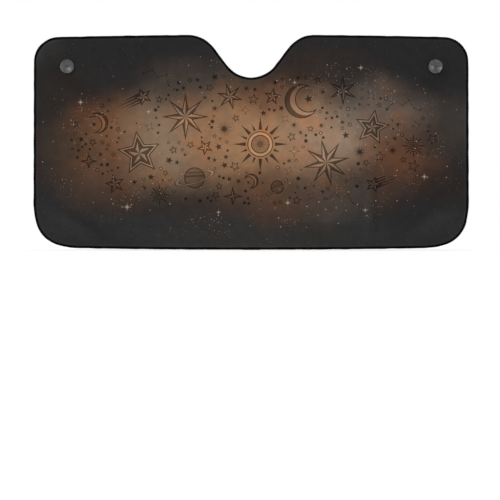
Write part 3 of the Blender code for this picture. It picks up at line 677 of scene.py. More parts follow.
def placed(shapes, point, radius, turn):
    angle = radians(turn)
    across = Vector((cos(angle), sin(angle))) * radius
    up = Vector((-sin(angle), cos(angle))) * radius
    return [([point + across * x + up * z for x, z in outline], tone) for outline, tone in shapes]


def print_shapes(loops):
    """Every shape of the print, in the order they are laid down."""
    shapes = []
    taken = []
    for motif, across, up, size, turn in LARGE_MOTIFS:
        point = Vector((across * PANEL_WIDTH, up * CORNER_HEIGHT))
        radius = size * MOTIF_UNIT
        shapes += placed(motif(LINE_WIDTH / radius), point, radius, turn)
        taken.append((point, radius * LARGE_REACH))
    for count in range(SMALL_MOTIFS):
        motif, size = SMALL_KINDS[count % len(SMALL_KINDS)]
        chance = random.Random(PRINT_SEED * 1000 + count)
        radius = size * MOTIF_UNIT * chance.uniform(SMALLEST_SCALE, LARGEST_SCALE)
        turn = chance.uniform(0, 72)
        for attempt in range(PLACING_TRIES):
            angle = chance.uniform(0, tau)
            reach = sqrt(chance.random())
            point = Vector((
                reach * cos(angle) * BAND_HALF_WIDTH * PANEL_WIDTH,
                (BAND_MIDDLE + reach * sin(angle) * BAND_HALF_HEIGHT) * CORNER_HEIGHT,
            ))
            if fits(point, radius, loops, taken):
                shapes += placed(motif(LINE_WIDTH / radius), point, radius, turn)
                taken.append((point, radius))
                break
    return shapes


# Cloth

def cloth_loops():
    """The cloth's cut edge, which reaches into the folded tape, and its two eyelet holes."""
    edge, inward = edge_points(EDGE_STEP)
    depth = WIRE_INSET + core_radius(edge[:, 0], edge[:, 1]) + SEAT_GAP
    holes = [np.array(arc(centre, HOLE_RADIUS, 0, 360, HOLE_SIDES)) for centre in CUP_CENTRES.values()]
    return [edge + inward * depth[:, None]] + holes


def spread_points():
    """Points between the edges that let the cloth bend: rows beside the tape, then an even grid."""
    points = []
    edge, inward = edge_points(EDGE_STEP)
    for depth in TAPE_ROWS:
        points += (edge + inward * depth).tolist()
    for centre in CUP_CENTRES.values():
        for reach in EYELET_ROWS:
            points += arc(centre, reach, 0, 360, ROW_SIDES)
    grid = np.array([
        (column * GRID_STEP + (GRID_STEP / 2 if row % 2 else 0.0), row * GRID_ROW)
        for row in range(int(GRID_TOP / GRID_ROW)) for column in GRID_COLUMNS
    ])
    inside = np.array([is_inside(point, EDGE[::4].tolist()) for point in grid])
    keep = inside & (nearest_on_edge(grid, EDGE)[0] > GRID_FROM_EDGE)
    for centre in CUP_CENTRES.values():
        keep &= np.hypot(*(grid - np.array(centre)).T) > GRID_FROM_EYELET
    return points + grid[keep].tolist()


def cloth_face(loops, shapes, points):
    """Triangles of one face of the cloth: places, triangles, the tone of each and the boundary loops."""
    outlines = [loop.tolist() for loop in loops] + [outline for outline, tone in shapes]
    places = [Vector(point) for outline in outlines for point in outline]
    faces = []
    start = 0
    for outline in outlines:
        faces.append(list(range(start, start + len(outline))))
        start += len(outline)
    places += [Vector(point) for point in points]
    made = delaunay_2d_cdt(places, [], faces, 1, WELD)
    found, triangles, sources, origins = made[0], made[2], made[3], made[5]
    holes = set(range(1, len(loops)))
    kept, tones = [], []
    for triangle, under in zip(triangles, origins):
        if 0 in under and not holes.intersection(under):
            kept.append(triangle)
            top = max(under) - len(loops)
            tones.append(TONE_LEVELS[shapes[top][1] if top >= 0 else GROUND])
    place_of = {source: index for index, inputs in enumerate(sources) for source in inputs}
    rims = [[place_of[index] for index in face] for face in faces[:len(loops)]]
    return np.array([tuple(place) for place in found]), kept, tones, rims


def cloth_mesh():
    loops = cloth_loops()
    points = spread_points()
    verts, faces, tones, slots, rims, rim_glow, painted_crease_light = [], [], [], [], [], [], []
    for slot, shapes in enumerate((print_shapes(loops), [])):
        places, triangles, face_tones, rim = cloth_face(loops, shapes, points)
        start = len(verts)
        level = CLOTH_Y + CLOTH_THICKNESS * (slot - 0.5)
        inside = nearest_on_edge(places, EDGE)[0] - BINDING_WIDTH
        rim_glow += np.exp(-np.clip(inside, 0, 1) / RIM_REACH).tolist()
        # Painted sheen and shade along the creases, from how far each bulges
        painted_crease_light += (-PAINTED_CREASE_LIGHT * crease_height(places)).tolist()
        verts += [(x, level + rise, z) for (x, z), rise in zip(places.tolist(), cloth_lift(places))]
        for triangle in triangles:
            faces.append([index + start for index in (reversed(triangle) if slot else triangle)])
        tones += face_tones
        slots += [slot] * len(triangles)
        rims.append([[index + start for index in loop] for loop in rim])
    for front_rim, back_rim in zip(*rims):
        for index in range(len(front_rim)):
            faces.append((front_rim[index - 1], back_rim[index - 1], back_rim[index], front_rim[index]))
            tones.append(1.0)
            slots.append(1)
    mesh = bpy.data.meshes.new("cloth_panel")
    mesh.from_pydata(verts, [], faces)
    layers = (("tone", "FACE", tones), ("rim", "POINT", rim_glow), ("painted_crease_light", "POINT", painted_crease_light))
    for name, domain, values in layers:
        mesh.attributes.new(name, "FLOAT", domain).data.foreach_set("value", values)
    mesh.polygons.foreach_set("material_index", slots)
    return cleaned(mesh)


# Tape and its stitching

def tape_looseness(x, z, turn):
    """How far the fold stands off the wire; the tape never reaches below the floor."""
    wave = sum(weight * np.sin(cycles * turn + phase) for cycles, phase, weight in LOOSE_WAVES)
    overlap = eased((OVERLAP_HALF - np.abs(x - OVERLAP_MIDDLE)) / OVERLAP_BLEND) * (z < CORNER_HEIGHT / 2)
    loose = np.clip(LOOSE_MEAN + LOOSE_WAVE * wave + OVERLAP_RISE * overlap, 0.0, LOOSEST)
    return np.minimum(loose, np.maximum(z - EDGE_LIFT * (core_radius(x, z) < FERRULE_RADIUS), 0.0))


def tape_section(core, loose, inner_edge):
    """Section of the folded tape: inset from the edge and offset along Y, outside then inside."""
    inner = core + SEAT_GAP + loose
    outer = inner + TAPE_THICKNESS
    slot = CLOTH_THICKNESS / 2 + SEAT_GAP
    face = slot + TAPE_THICKNESS
    outer_start = degrees(asin(min((face + STITCH_STEPS[-1][1]) / outer, 1)))
    inner_start = degrees(asin(slot / inner))
    centre = (WIRE_INSET, 0.0)
    outside = [(inner_edge + step, face + rise) for step, rise in CUT_EDGE_STEPS]
    outside += [(STITCH_INSET + step, face + rise) for step, rise in STITCH_STEPS]
    outside += arc(centre, outer, outer_start, outer_start, 1)
    front = outside + arc(centre, outer, outer_start, 180, 9)
    back = [(depth, -offset) for depth, offset in reversed(front[:-1])]
    lining = [(inner_edge, -slot)] + arc(centre, inner, 360 - inner_start, 360 - inner_start, 1)
    lining += arc(centre, inner, 360 - inner_start, inner_start, 12)
    return front + back + lining + [(inner_edge, slot)]


def tape_mesh():
    edge, inward = edge_points(TAPE_STEP)
    steps = np.hypot(*(np.roll(edge, -1, axis=0) - edge).T)
    along = np.concatenate([[0.0], np.cumsum(steps)[:-1]])
    turn = tau * along / EDGE_LENGTH
    core = core_radius(edge[:, 0], edge[:, 1])
    loose = tape_looseness(edge[:, 0], edge[:, 1], turn)
    inner_edge = BINDING_WIDTH + TAPE_WANDER * (np.sin(53 * turn) + np.sin(31 * turn + 2.0))
    rings = []
    for index in range(len(edge)):
        section = np.array(tape_section(core[index], loose[index], inner_edge[index]))
        place = edge[index] + inward[index] * section[:, :1]
        rings.append(np.column_stack([place[:, 0], CLOTH_Y - section[:, 1], place[:, 1]]))
    count, sides = len(rings), len(rings[0])
    mesh = bpy.data.meshes.new("edge_tape")
    mesh.from_pydata(np.vstack(rings).tolist(), [], tube_faces(count, sides, closed=True))
    girth = np.concatenate([[0.0], np.cumsum(np.linalg.norm(np.diff(rings[0], axis=0), axis=1))])
    girth = np.append(girth, girth[-1] + CUT_EDGE_GIRTH)
    spots = []
    for here in along:
        there = here + EDGE_LENGTH / count
        for side in range(sides):
            spots += [here, girth[side], here, girth[side + 1], there, girth[side + 1], there, girth[side]]
    mesh.uv_layers.new(name="tape").data.foreach_set("uv", spots)
    return cleaned(mesh)


def stitching_mesh(name, facing):
    """A row of stitches sunk into the tape, on the side that faces along Y times facing."""
    chance = random.Random(PRINT_SEED + 1)
    depth = CLOTH_THICKNESS / 2 + SEAT_GAP + TAPE_THICKNESS - STITCH_SINK
    verts, faces = [], []
    for point, across in zip(*edge_points(STITCH_PITCH)):
        tangent = np.array([across[1], -across[0]])
        heading = tangent + across * chance.uniform(-STITCH_SLANT, STITCH_SLANT)
        centre = point + across * (STITCH_INSET + chance.uniform(-STITCH_SHIFT, STITCH_SHIFT))
        start = len(verts)
        for along, girth, height in STITCH_RINGS:
            for side in range(STITCH_SIDES):
                angle = tau * side / STITCH_SIDES
                wide = cos(angle) * THREAD_RADIUS * girth * STITCH_FLATNESS
                tall = sin(angle) * THREAD_RADIUS * girth + height * THREAD_RADIUS * 0.5
                place = centre + heading * along * STITCH_LENGTH + across * wide
                verts.append((place[0], CLOTH_Y + facing * (depth + tall), place[1]))
        faces += tube_faces(len(STITCH_RINGS), STITCH_SIDES, start)
        faces += [range(first, first + STITCH_SIDES) for first in (start, len(verts) - STITCH_SIDES)]
    mesh = bpy.data.meshes.new(name)
    mesh.from_pydata(verts, [], [tuple(face) for face in faces])
    return cleaned(mesh)


# Turned pieces

def turned_mesh(name, profile, place, closed):
    """Turn a profile of (radius, depth along Y) points about the line through place along Y."""
    bm = bmesh.new()
    verts = [bm.verts.new((place[0] + radius, place[1] + depth, place[2])) for radius, depth in profile]
    edges = [bm.edges.new(pair) for pair in zip(verts, verts[1:])]
    if closed:
        edges.append(bm.edges.new((verts[-1], verts[0])))
    bmesh.ops.spin(
        bm, geom=verts + edges, cent=place, axis=(0.0, 1.0, 0.0),
        angle=tau, steps=TURNED_SIDES, use_merge=True,
    )
    bmesh.ops.remove_doubles(bm, verts=bm.verts[:], dist=WELD)
    mesh = bpy.data.meshes.new(name)
    bm.to_mesh(mesh)
    bm.free()
    return cleaned(mesh)


def rounded(profile, size, steps=4):
    """Round the inner corners of a profile by up to a size, keeping its first and last points."""
    result = [profile[0]]
    for before, corner, after in zip(profile, profile[1:], profile[2:]):
        corner = Vector(corner)
        back, forth = Vector(before) - corner, Vector(after) - corner
        reach = min(size, back.length * 0.45, forth.length * 0.45)
        start, end = corner + back.normalized() * reach, corner + forth.normalized() * reach
        for step in range(steps + 1):
            share = step / steps
            spot = start * (1 - share) ** 2 + corner * 2 * share * (1 - share) + end * share ** 2
            result.append((spot.x, spot.y))
    return result + [profile[-1]]


def eyelet_profile():
    """Domed front flange, barrel through the cloth and the lip rolled out behind the washer."""
    lip = BARREL_RADIUS + EYELET_LIP_WIDTH
    rim = EYELET_FLANGE_RADIUS - EYELET_SHEET
    return [
        (BORE_RADIUS, -FLANGE_FRONT + EYELET_MOUTH[1]),
        (BORE_RADIUS + EYELET_MOUTH[0], -FLANGE_FRONT),
        (rim, -FLANGE_FRONT),
        *arc((rim, -FLANGE_BACK), EYELET_SHEET, -90, 0, 5),
        (BARREL_RADIUS, -FLANGE_BACK),
        (BARREL_RADIUS, LIP_FRONT),
        (lip, LIP_FRONT),
        *arc((lip - EYELET_SHEET, LIP_FRONT), EYELET_SHEET, 0, 90, 5),
        (BORE_RADIUS + EYELET_LIP[0], LIP_BACK),
        (BORE_RADIUS, LIP_BACK - EYELET_LIP[1]),
    ]


def washer_profile():
    half = EYELET_SHEET / 2
    return [
        (HOLE_RADIUS, FLANGE_BACK),
        (WASHER_RADIUS - WASHER_CHAMFER, FLANGE_BACK),
        (WASHER_RADIUS, FLANGE_BACK + WASHER_CHAMFER),
        *arc((WASHER_RADIUS - half, FLANGE_BACK + half), half, 0, 90, 4),
        (HOLE_RADIUS + WASHER_CHAMFER, WASHER_BACK),
        (HOLE_RADIUS, WASHER_BACK - WASHER_CHAMFER),
    ]


def dome(radius, depth, start, stop, height, steps):
    """Points of a parabola from one radius to another."""
    reaches = [start + (stop - start) * step / steps for step in range(steps + 1)]
    return [(reach, height - depth * (reach / radius) ** 2) for reach in reaches]


def cup_profile():
    """One moulding: head behind the cloth, neck in the eyelet, collar, domed bell and hollow dish."""
    collar_front = COLLAR_BACK + CUP_COLLAR_HEIGHT
    bell_depth = RIM_FRONT - CUP_LIP_THICKNESS - collar_front
    dish_radius = CUP_RADIUS - CUP_LIP_WIDTH
    bell = dome(CUP_RADIUS, bell_depth, CUP_COLLAR_RADIUS, CUP_RADIUS, -collar_front, 20)
    dish = dome(dish_radius, CUP_DISH_DEPTH, dish_radius, 0.0, -RIM_FRONT + CUP_DISH_DEPTH, 24)
    crown = ((0.50, 0.05), (0.80, 0.20), (0.95, 0.42), (1.0, 0.66))
    head = [
        (0.0, HEAD_BACK),
        *[(HEAD_RADIUS * wide, HEAD_BACK - HEAD_HEIGHT * deep) for wide, deep in crown],
        (HEAD_RADIUS, HEAD_FRONT + SEAT_GAP),
        (HEAD_RADIUS - SEAT_GAP, HEAD_FRONT),
        (NECK_RADIUS, HEAD_FRONT),
        (NECK_RADIUS, -COLLAR_BACK),
        (CUP_COLLAR_RADIUS, -COLLAR_BACK),
    ]
    profile = rounded(head + bell[:3], BELL_ROUNDING)[:-1] + bell[3:]
    lip = rounded([bell[-1], (CUP_RADIUS, -RIM_FRONT), dish[0], dish[1]], LIP_ROUNDING)
    return profile + lip[1:-1] + dish[2:]


# Materials

def is_socket(value):
    return isinstance(value, bpy.types.NodeSocket)


def node(kind, inputs, tree=None, **settings):
    """Add a node to a tree, or else to the one its inputs come from."""
    tree = tree or next(value.id_data for value in inputs.values() if is_socket(value))
    made = tree.nodes.new(kind)
    for name, value in settings.items():
        setattr(made, name, value)
    return connected(made, inputs)


def connected(made, inputs):
    """Give inputs a value each, or the socket that feeds them."""
    for name, value in inputs.items():
        if is_socket(value):
            made.id_data.links.new(value, made.inputs[name])
        else:
            made.inputs[name].default_value = value
    return made


def maths(operation, first, second=0.0):
    return node("ShaderNodeMath", {0: first, 1: second}, operation=operation).outputs["Value"]


def product(first, *others):
    for other in others:
        first = maths("MULTIPLY", first, other)
    return first


def vector_maths(operation, first, second=(0.0, 0.0, 0.0)):
    """Vector sum; SCALE multiplies by a number, and LENGTH gives one."""
    inputs = {0: first, "Scale" if operation == "SCALE" else 1: second}
    made = node("ShaderNodeVectorMath", inputs, operation=operation)
    return made.outputs["Value" if operation == "LENGTH" else "Vector"]


def ramp(value, low, high, start=0.0, stop=1.0):
    """Smooth change from start to stop as value goes from low to high."""
    inputs = {"Value": value, "From Min": low, "From Max": high, "To Min": start, "To Max": stop}
    return node("ShaderNodeMapRange", inputs, interpolation_type="SMOOTHSTEP").outputs["Result"]


def blended(factor, first, second, blend="MIX"):
    """Blend two colours, whose sockets are the node's inputs 6 and 7 and its output 2."""
    inputs = {0: factor, 6: first, 7: second}
    return node("ShaderNodeMix", inputs, data_type="RGBA", blend_type=blend).outputs[2]


def noise(place, scale, detail=3.0, roughness=0.5, output="Fac"):
    inputs = {"Vector": place, "Scale": scale, "Detail": detail, "Roughness": roughness}
    return node("ShaderNodeTexNoise", inputs).outputs[output]


def bump(height, strength, distance, over=None):
    """Normal of a height, laid over another bump's normal if there is one."""
    inputs = {"Height": height, "Strength": strength, "Distance": distance}
    if over:
        inputs["Normal"] = over
    return node("ShaderNodeBump", inputs).outputs["Normal"]


def object_place(tree):
    return node("ShaderNodeTexCoord", {}, tree).outputs["Object"]


def local_place(place, centre, size):
    """Place about a centre, in units of a size."""
    inputs = {"Vector": place, "Location": centre, "Scale": size}
    return node("ShaderNodeMapping", inputs, vector_type="TEXTURE").outputs["Vector"]


def axes(vector):
    return node("ShaderNodeSeparateXYZ", {"Vector": vector}).outputs


def attribute(tree, name):
    return node("ShaderNodeAttribute", {}, tree, attribute_name=name).outputs["Fac"]


def new_material(name, roughness, metallic=0.0, specular=0.5):
    material = bpy.data.materials.new(name)
    material.use_nodes = True
    shader = material.node_tree.nodes["Principled BSDF"]
    connected(shader, {"Roughness": roughness, "Metallic": metallic, "Specular IOR Level": specular})
    return material, material.node_tree, shader


def woven(parts, pitches):
    """Plain weave: the product of rows of threads along the axes that have a pitch."""
    waves = [maths("SINE", product(parts[axis], tau / pitch)) for axis, pitch in pitches.items()]
    return product(*waves)


# Colour fields of the print: centre and half-size as shares of the panel, colour and strength
COLOUR_FIELDS = (
    (-0.455, 0.080, 0.215, 0.330, (46, 46, 47), 0.8),
    (0.470, 0.070, 0.190, 0.310, (45, 45, 45), 0.8),
    (0.000, 0.505, 0.600, 0.560, (65, 50, 41), 1.0),
    (0.000, 0.460, 0.423, 0.440, (79, 62, 49), 0.7),
    (-0.345, 0.366, 0.175, 0.270, (91, 66, 50), 0.7),
    (0.010, 0.030, 0.370, 0.280, (54, 52, 50), 1.0),
    (-0.130, 0.050, 0.160, 0.170, (50, 49, 49), 0.5),
    (-0.310, 0.560, 0.175, 0.280, (124, 84, 56), 0.85),
    (-0.191, 0.520, 0.169, 0.330, (141, 118, 97), 0.9),
    (0.020, 0.530, 0.300, 0.360, (165, 124, 90), 1.0),
    (0.190, 0.545, 0.169, 0.280, (161, 134, 111), 0.9),
    (0.320, 0.650, 0.160, 0.230, (108, 93, 82), 0.85),
    (0.335, 0.440, 0.160, 0.250, (104, 68, 47), 0.8),
    (0.060, 0.271, 0.210, 0.205, (91, 65, 50), 0.7),
    (0.060, 0.720, 0.110, 0.146, (109, 70, 50), 0.6),
    (0.142, 0.863, 0.113, 0.146, (47, 38, 34), 0.7),
    (0.204, 0.240, 0.150, 0.180, (75, 67, 61), 0.8),
    (-0.141, 0.780, 0.155, 0.205, (81, 72, 64), 0.5),
    (-0.437, 0.480, 0.110, 0.230, (70, 55, 43), 0.7),
    (-0.430, 0.780, 0.140, 0.200, (41, 36, 32), 0.8),
    (0.430, 0.560, 0.110, 0.200, (57, 47, 40), 0.5),
    (0.440, 0.300, 0.120, 0.150, (40, 32, 29), 0.7),
    (-0.478, 0.965, 0.062, 0.130, (52, 52, 52), 0.9),
    (-0.245, 0.070, 0.180, 0.200, (55, 55, 56), 0.5),
    (0.275, 0.070, 0.170, 0.190, (55, 55, 55), 0.5),
    (0.480, 0.610, 0.105, 0.220, (58, 54, 51), 0.9),
)
CHARCOAL = (34, 34, 35)
# What the clouds multiply the colours by where they are densest and thinnest
WARM_TINT = (1.30, 0.98, 0.74, 1.0)
COOL_TINT = (0.84, 0.97, 1.08, 1.0)
# Gleams among the dust: centre as shares of the panel, reach of the arms
GLEAMS = (
    (-0.392, 0.705, 0.018), (-0.285, 0.205, 0.022), (-0.236, 0.660, 0.014),
    (-0.075, 0.180, 0.015), (0.084, 0.225, 0.018), (0.262, 0.190, 0.015),
    (0.252, 0.870, 0.016), (0.398, 0.350, 0.019), (0.100, 0.800, 0.013),
)
GLEAM_COLOUR = (222, 208, 194)
# Rim of the coloured band: centre and half-size
BAND_CENTRE = (0.0, 0.50 * CORNER_HEIGHT, 0.0)
BAND_REACH = (0.47 * PANEL_WIDTH, 0.40 * CORNER_HEIGHT, 1.0)


def colour_fields(place):
    """Soft patches of colour with cloudy edges, laid over the charcoal ground."""
    cloud = noise(place, 5.0, 4.0, 0.55, "Color")
    drift = vector_maths("SCALE", vector_maths("SUBTRACT", cloud, (0.5, 0.5, 0.5)), 0.16)
    flat = vector_maths("MULTIPLY", vector_maths("ADD", place, drift), (1.0, 0.0, 1.0))
    colour = srgb(*CHARCOAL)
    for across, up, width, height, patch, strength in COLOUR_FIELDS:
        centre = (across * PANEL_WIDTH, 0.0, up * CORNER_HEIGHT)
        size = (width * PANEL_WIDTH, 1.0, height * CORNER_HEIGHT)
        reach = vector_maths("LENGTH", local_place(flat, centre, size))
        colour = blended(ramp(reach, 0.0, 1.0, strength, 0.0), colour, srgb(*patch))
    return colour


def dust(place, cell, radius, share):
    """Round specks, one in a share of the cells, fading at their rims."""
    inputs = {"Vector": place, "Scale": 1 / cell, "Randomness": 1.0}
    cells = node("ShaderNodeTexVoronoi", inputs, voronoi_dimensions="2D")
    parts = node("ShaderNodeSeparateColor", {"Color": cells.outputs["Color"]})
    chosen = maths("GREATER_THAN", parts.outputs["Red"], 1 - share)
    speck = ramp(cells.outputs["Distance"], radius / cell * 0.4, radius / cell, 1.0, 0.0)
    return product(speck, chosen, parts.outputs["Blue"])


def gleams(flat):
    """Four-point gleams, brightest in the middle."""
    total = 0.0
    for across, up, reach in GLEAMS:
        centre = (across * PANEL_WIDTH, up * CORNER_HEIGHT, 0.0)
        parts = axes(local_place(flat, centre, (reach, reach, 1.0)))
        arms = [maths("SQRT", maths("ABSOLUTE", parts[axis])) for axis in ("X", "Y")]
        total = maths("MAXIMUM", total, ramp(maths("ADD", *arms), 0.0, 1.1, 1.0, 0.0))
    return total


def tinted(flat, colour, reach):
    """Warmer and cooler clouds in the coloured band, thinning out over the charcoal."""
    clouds = noise(flat, 7.5, 5.0, 0.6)
    mask = ramp(reach, 0.80, 1.15, 1.0, 0.20)
    for high, tint in ((0.72, WARM_TINT), (0.30, COOL_TINT)):
        share = product(ramp(clouds, 0.50, high), mask)
        colour = blended(share, colour, tint, "MULTIPLY")
    return colour


def printed_cloth_material():
    material, tree, shader = new_material("printed_cloth", 0.88, specular=0.12)
    place = object_place(tree)
    parts = axes(place)
    flat = node("ShaderNodeCombineXYZ", {"X": parts["X"], "Y": parts["Z"]}).outputs["Vector"]
    reach = vector_maths("LENGTH", local_place(flat, BAND_CENTRE, BAND_REACH))
    colour = tinted(flat, colour_fields(place), reach)
    mottle = ramp(noise(flat, 34.0, 5.0, 0.6), 0.25, 0.75, 0.90, 1.10)
    weave = woven(parts, {"X": WEAVE_PITCH, "Z": WEAVE_PITCH})
    # The cloth is lighter beside the tape; painted sheen lightens the creases that bulge to the front and
    # painted shade darkens those that bulge to the back
    lighter = maths("ADD", product(attribute(tree, "rim"), 0.45), attribute(tree, "painted_crease_light"))
    threads = ramp(weave, -1.0, 1.0, 0.84, 1.12)
    grain = product(attribute(tree, "tone"), mottle, threads, maths("ADD", lighter, 1.0))
    # Dust is thick round the rim of the coloured band and thin near the panel's edge
    density = product(ramp(reach, 0.30, 0.75, 0.45, 1.0), ramp(reach, 0.92, 1.20, 1.0, 0.10))
    clusters = ramp(noise(flat, 8.0, 3.0), 0.46, 0.62)
    fine = product(dust(flat, 0.0085, 0.0013, 0.36), clusters)
    specks = product(maths("MAXIMUM", fine, dust(flat, 0.032, 0.0022, 0.40)), density)
    specks = product(maths("MAXIMUM", specks, gleams(flat)), 0.90)
    glow = blended(0.78, colour, srgb(*GLEAM_COLOUR))
    connected(shader, {
        "Base Color": blended(specks, vector_maths("SCALE", colour, grain), glow),
        "Normal": bump(weave, 0.40, 0.0001),
        "Sheen Weight": 0.03,
        "Sheen Roughness": 0.5,
    })
    return material


def silver_material():
    """Silver coating with broad patches, soft wrinkles with painted shade along their folds, and the weave.
    """
    material, tree, shader = new_material("silver_coating", 0.36, metallic=0.75)
    place = object_place(tree)
    patches = ramp(noise(place, 6.0, 5.0, 0.6), 0.30, 0.70)
    colour = blended(patches, srgb(172, 174, 177), srgb(188, 190, 192))
    drift = vector_maths("SCALE", noise(place, 3.0, 2.0, output="Color"), 0.20)
    wandering = vector_maths("ADD", place, drift)
    ridges = maths("ABSOLUTE", maths("SUBTRACT", noise(wandering, 8.0, 3.0), 0.5))
    # Painted shade: the coating is darker along the folds of the wrinkles
    fold_shade = product(ramp(ridges, 0.0, 0.030, 0.20, 0.0), patches)
    folds = product(ramp(ridges, 0.0, 0.09, 1.0, 0.0), maths("ADD", patches, 0.4))
    swells = product(noise(place, 4.0, 1.0), 4.0)
    wrinkles = bump(maths("ADD", folds, swells), 1.0, 0.0020)
    weave = woven(axes(place), {"X": WEAVE_PITCH, "Z": WEAVE_PITCH})
    connected(shader, {
        "Base Color": blended(fold_shade, colour, srgb(120, 121, 123)),
        "Roughness": ramp(noise(place, 60.0, 4.0), 0.3, 0.7, 0.27, 0.37),
        "Normal": bump(weave, 0.35, 0.00012, wrinkles),
    })
    return material


def tape_material(name, level):
    """Woven polyester tape: ribs across it, and a faint lift of colour where it is handled."""
    material, tree, shader = new_material(name, 0.90, specular=0.04)
    place = node("ShaderNodeTexCoord", {}, tree).outputs
    ribs = woven(axes(place["UV"]), {"X": 0.0011, "Y": 0.0007})
    wear = ramp(noise(place["Object"], 40.0, 5.0), 0.3, 0.75)
    colour = blended(wear, srgb(level, level, level + 1), srgb(level + 9, level + 9, level + 9))
    connected(shader, {"Base Color": colour, "Normal": bump(ribs, 0.4, 0.0001)})
    return material


def thread_material():
    material, tree, shader = new_material("sewing_thread", 0.7, specular=0.12)
    fibres = noise(object_place(tree), 900.0, 2.0)
    connected(shader, {"Base Color": blended(fibres, srgb(10, 10, 11), srgb(26, 26, 27))})
    return material


def metal_material(name, colour, roughness, drawn):
    """Metal with slight staining and fine scratches, longest along the axis it was drawn."""
    material, tree, shader = new_material(name, roughness, metallic=1.0)
    place = object_place(tree)
    stretched = node("ShaderNodeMapping", {"Vector": place, "Scale": drawn}).outputs["Vector"]
    scratches = noise(stretched, 900.0, 3.0)
    stain = ramp(noise(place, 160.0, 4.0), 0.35, 0.7)
    dull = srgb(*[channel * 0.72 for channel in colour])
    connected(shader, {
        "Base Color": blended(stain, srgb(*colour), dull),
        "Roughness": ramp(scratches, 0.3, 0.7, roughness - 0.06, roughness + 0.12),
        "Normal": bump(scratches, 0.15, 0.00005),
    })
    return material


def vinyl_material(name, light, clearness):
    """Soft vinyl gone slightly milky, with painted shade in the middle where the neck and its shadow show
    through, and lighter round the lip.
    """
    material, tree, shader = new_material(name, 0.40, specular=0.20)
    place = object_place(tree)
    parts = axes(place)
    across = maths("SUBTRACT", maths("ABSOLUTE", parts["X"]), CUP_CENTRES["right"][0])
    up = maths("SUBTRACT", parts["Z"], CUP_CENTRES["right"][1])
    spot = node("ShaderNodeCombineXYZ", {"X": across, "Y": up}).outputs["Vector"]
    reach = vector_maths("LENGTH", spot)
    haze = ramp(noise(place, 110.0, 3.0), 0.30, 0.70)
    clear, milky = srgb(light - 8, light - 10, light - 11), srgb(light + 8, light + 6, light + 5)
    # Painted shade darkens the middle, where the neck and its shadow show through; the lip is made lighter
    neck = ramp(reach, NECK_RADIUS * 0.5, NECK_RADIUS * 2.8, 0.34, 1.0)
    lip = ramp(reach, CUP_RADIUS * 0.82, CUP_RADIUS * 0.96, 0.94, 1.10)
    shade = product(neck, lip)
    connected(shader, {
        "Base Color": vector_maths("SCALE", blended(haze, clear, milky), shade),
        "Roughness": ramp(haze, 0.0, 1.0, 0.37, 0.43),
        "Transmission Weight": clearness,
        "IOR": 1.45,
        "Coat Weight": 0.28,
        "Coat Roughness": 0.16,
    })
    return material


# Pieces

def build_panel():
    cloth = add_piece(
        "cloth_panel", cloth_mesh(), [printed_cloth_material(), silver_material()],
        "shade", ["shade_cloth"],
    )
    tape = tape_material("black_tape", 6)
    add_piece("edge_tape", tape_mesh(), [tape], "shade", ["edge_binding"])
    thread = thread_material()
    for name, facing in (("stitching_front", -1), ("stitching_back", 1)):
        add_piece(name, stitching_mesh(name, facing), [thread], "shade")


def build_cups():
    plated = metal_material("plated_metal", (176, 176, 172), 0.24, (1.0, 1.0, 1.0))
    # The neck and head get a darker copy of the clear vinyl: painted shade for the dark middle of the cup
    vinyls = [vinyl_material("clear_vinyl", 166, 0.95), vinyl_material("stem_vinyl_painted_shade", 56, 0.10)]
    for side, (x, z) in CUP_CENTRES.items():
        cup = "cup_" + side
        pieces = (
            ("eyelet_ring_", eyelet_profile(), True, [plated], "shade", "plated_metal", "eyelet_"),
            ("washer_ring_", washer_profile(), True, [plated], "shade", "plated_metal", "eyelet_washer_"),
            ("cup_moulding_", cup_profile(), False, vinyls, cup, "clear_vinyl", "suction_cup_"),
        )
        for stem, profile, closed, materials, body, slot, replaced in pieces:
            mesh = turned_mesh(stem + side, profile, (x, CLOTH_Y, z), closed)
            if body == cup:
                for face in mesh.polygons:
                    face.material_index = int(face.center.y > CLOTH_Y - COLLAR_BACK - STEM_MARGIN)
            add_piece(stem + side, mesh, materials, body, [replaced + side], sharp=50.0)


def finish_wire():
    """The wire and its ferrule keep the model's meshes and get finer materials."""
    finishes = (
        ("spring_wire", metal_material("spring_steel", (124, 126, 128), 0.32, (1.0, 1.0, 0.1))),
        ("wire_ferrule", metal_material("plated_ferrule", (170, 170, 166), 0.28, (0.1, 1.0, 1.0))),
    )
    for name, material in finishes:
        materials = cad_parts[name].data.materials
        materials.clear()
        materials.append(material)


# Studio

CAMERA_DISTANCE = 3.853
CAMERA_LENS = 85.0
CAMERA_PLACE = (-0.0038, 0.030)
CAMERA_SHIFT = -0.0185
FLOOR_RADIUS = 9.0
# Distance and glow of the floor as it is seen, which casts no light itself
FLOOR_NEAR = (0.7, 0.36)
FLOOR_FAR = (3.2, 0.62)
WHITE = (1.0, 1.0, 1.0, 1.0)
WORLD_LIGHT = 0.46
LAMP_AIM = Vector((0.0, 0.0, 0.35))
# Lamps: place, width and height, watts
LAMPS = {
    "key": ((-2.2, -3.4, 2.6), (2.2, 1.6), 72.0),
    "fill": ((2.6, -3.0, 1.6), (1.8, 1.8), 33.0),
    "back": ((0.6, 3.2, 2.6), (2.4, 1.6), 36.0),
}


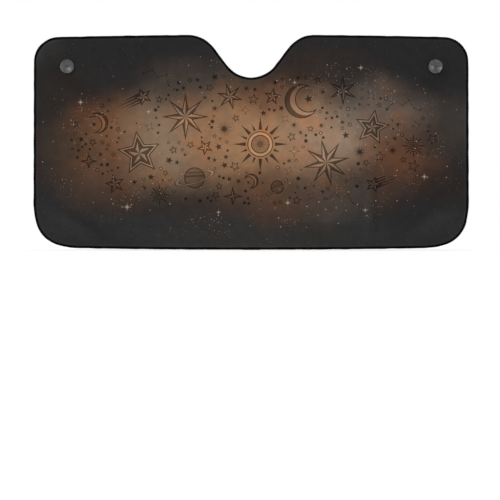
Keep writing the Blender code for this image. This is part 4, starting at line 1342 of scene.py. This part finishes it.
def seen_directly(tree):
    """1 for camera, glossy and transmission rays, which see the background itself."""
    rays = node("ShaderNodeLightPath", {}, tree).outputs
    seen = maths("MAXIMUM", rays["Is Camera Ray"], rays["Is Glossy Ray"])
    return maths("MAXIMUM", seen, rays["Is Transmission Ray"])


def build_floor():
    mesh = bpy.data.meshes.new("floor")
    bm = bmesh.new()
    bmesh.ops.create_circle(bm, cap_ends=True, segments=96, radius=FLOOR_RADIUS)
    bm.to_mesh(mesh)
    bm.free()
    floor = placed_object("floor", mesh)
    material, tree, shader = new_material("floor", 0.9, specular=0.0)
    place = object_place(tree)
    away = vector_maths("LENGTH", place)
    glow = ramp(away, FLOOR_NEAR[0], FLOOR_FAR[0], FLOOR_NEAR[1], FLOOR_FAR[1])
    connected(shader, {
        "Base Color": blended(noise(place, 3.0), srgb(243, 243, 243), srgb(247, 247, 247)),
        "Emission Color": WHITE,
        "Emission Strength": product(seen_directly(tree), glow),
    })
    mesh.materials.append(material)


def build_light():
    world = bpy.data.worlds.new("studio")
    bpy.context.scene.world = world
    world.use_nodes = True
    tree = world.node_tree
    strength = ramp(seen_directly(tree), 0.0, 1.0, WORLD_LIGHT, 1.0)
    connected(tree.nodes["Background"], {"Color": WHITE, "Strength": strength})
    for name, (place, size, watts) in LAMPS.items():
        data = bpy.data.lights.new(name, "AREA")
        data.shape = "RECTANGLE"
        data.size, data.size_y = size
        data.energy = watts
        lamp = placed_object(name, data)
        lamp.location = place
        lamp.rotation_euler = (LAMP_AIM - Vector(place)).to_track_quat("-Z", "Y").to_euler()


def build_camera():
    data = bpy.data.cameras.new("camera")
    data.lens = CAMERA_LENS
    data.shift_y = CAMERA_SHIFT
    camera = placed_object("camera", data)
    camera.location = (CAMERA_PLACE[0], CLOTH_Y - CAMERA_DISTANCE, CAMERA_PLACE[1])
    camera.rotation_euler = (radians(90), 0.0, 0.0)
    bpy.context.scene.camera = camera


build_panel()
build_cups()
finish_wire()
build_floor()
build_light()
build_camera()
bpy.context.scene.view_settings.view_transform = "Standard"
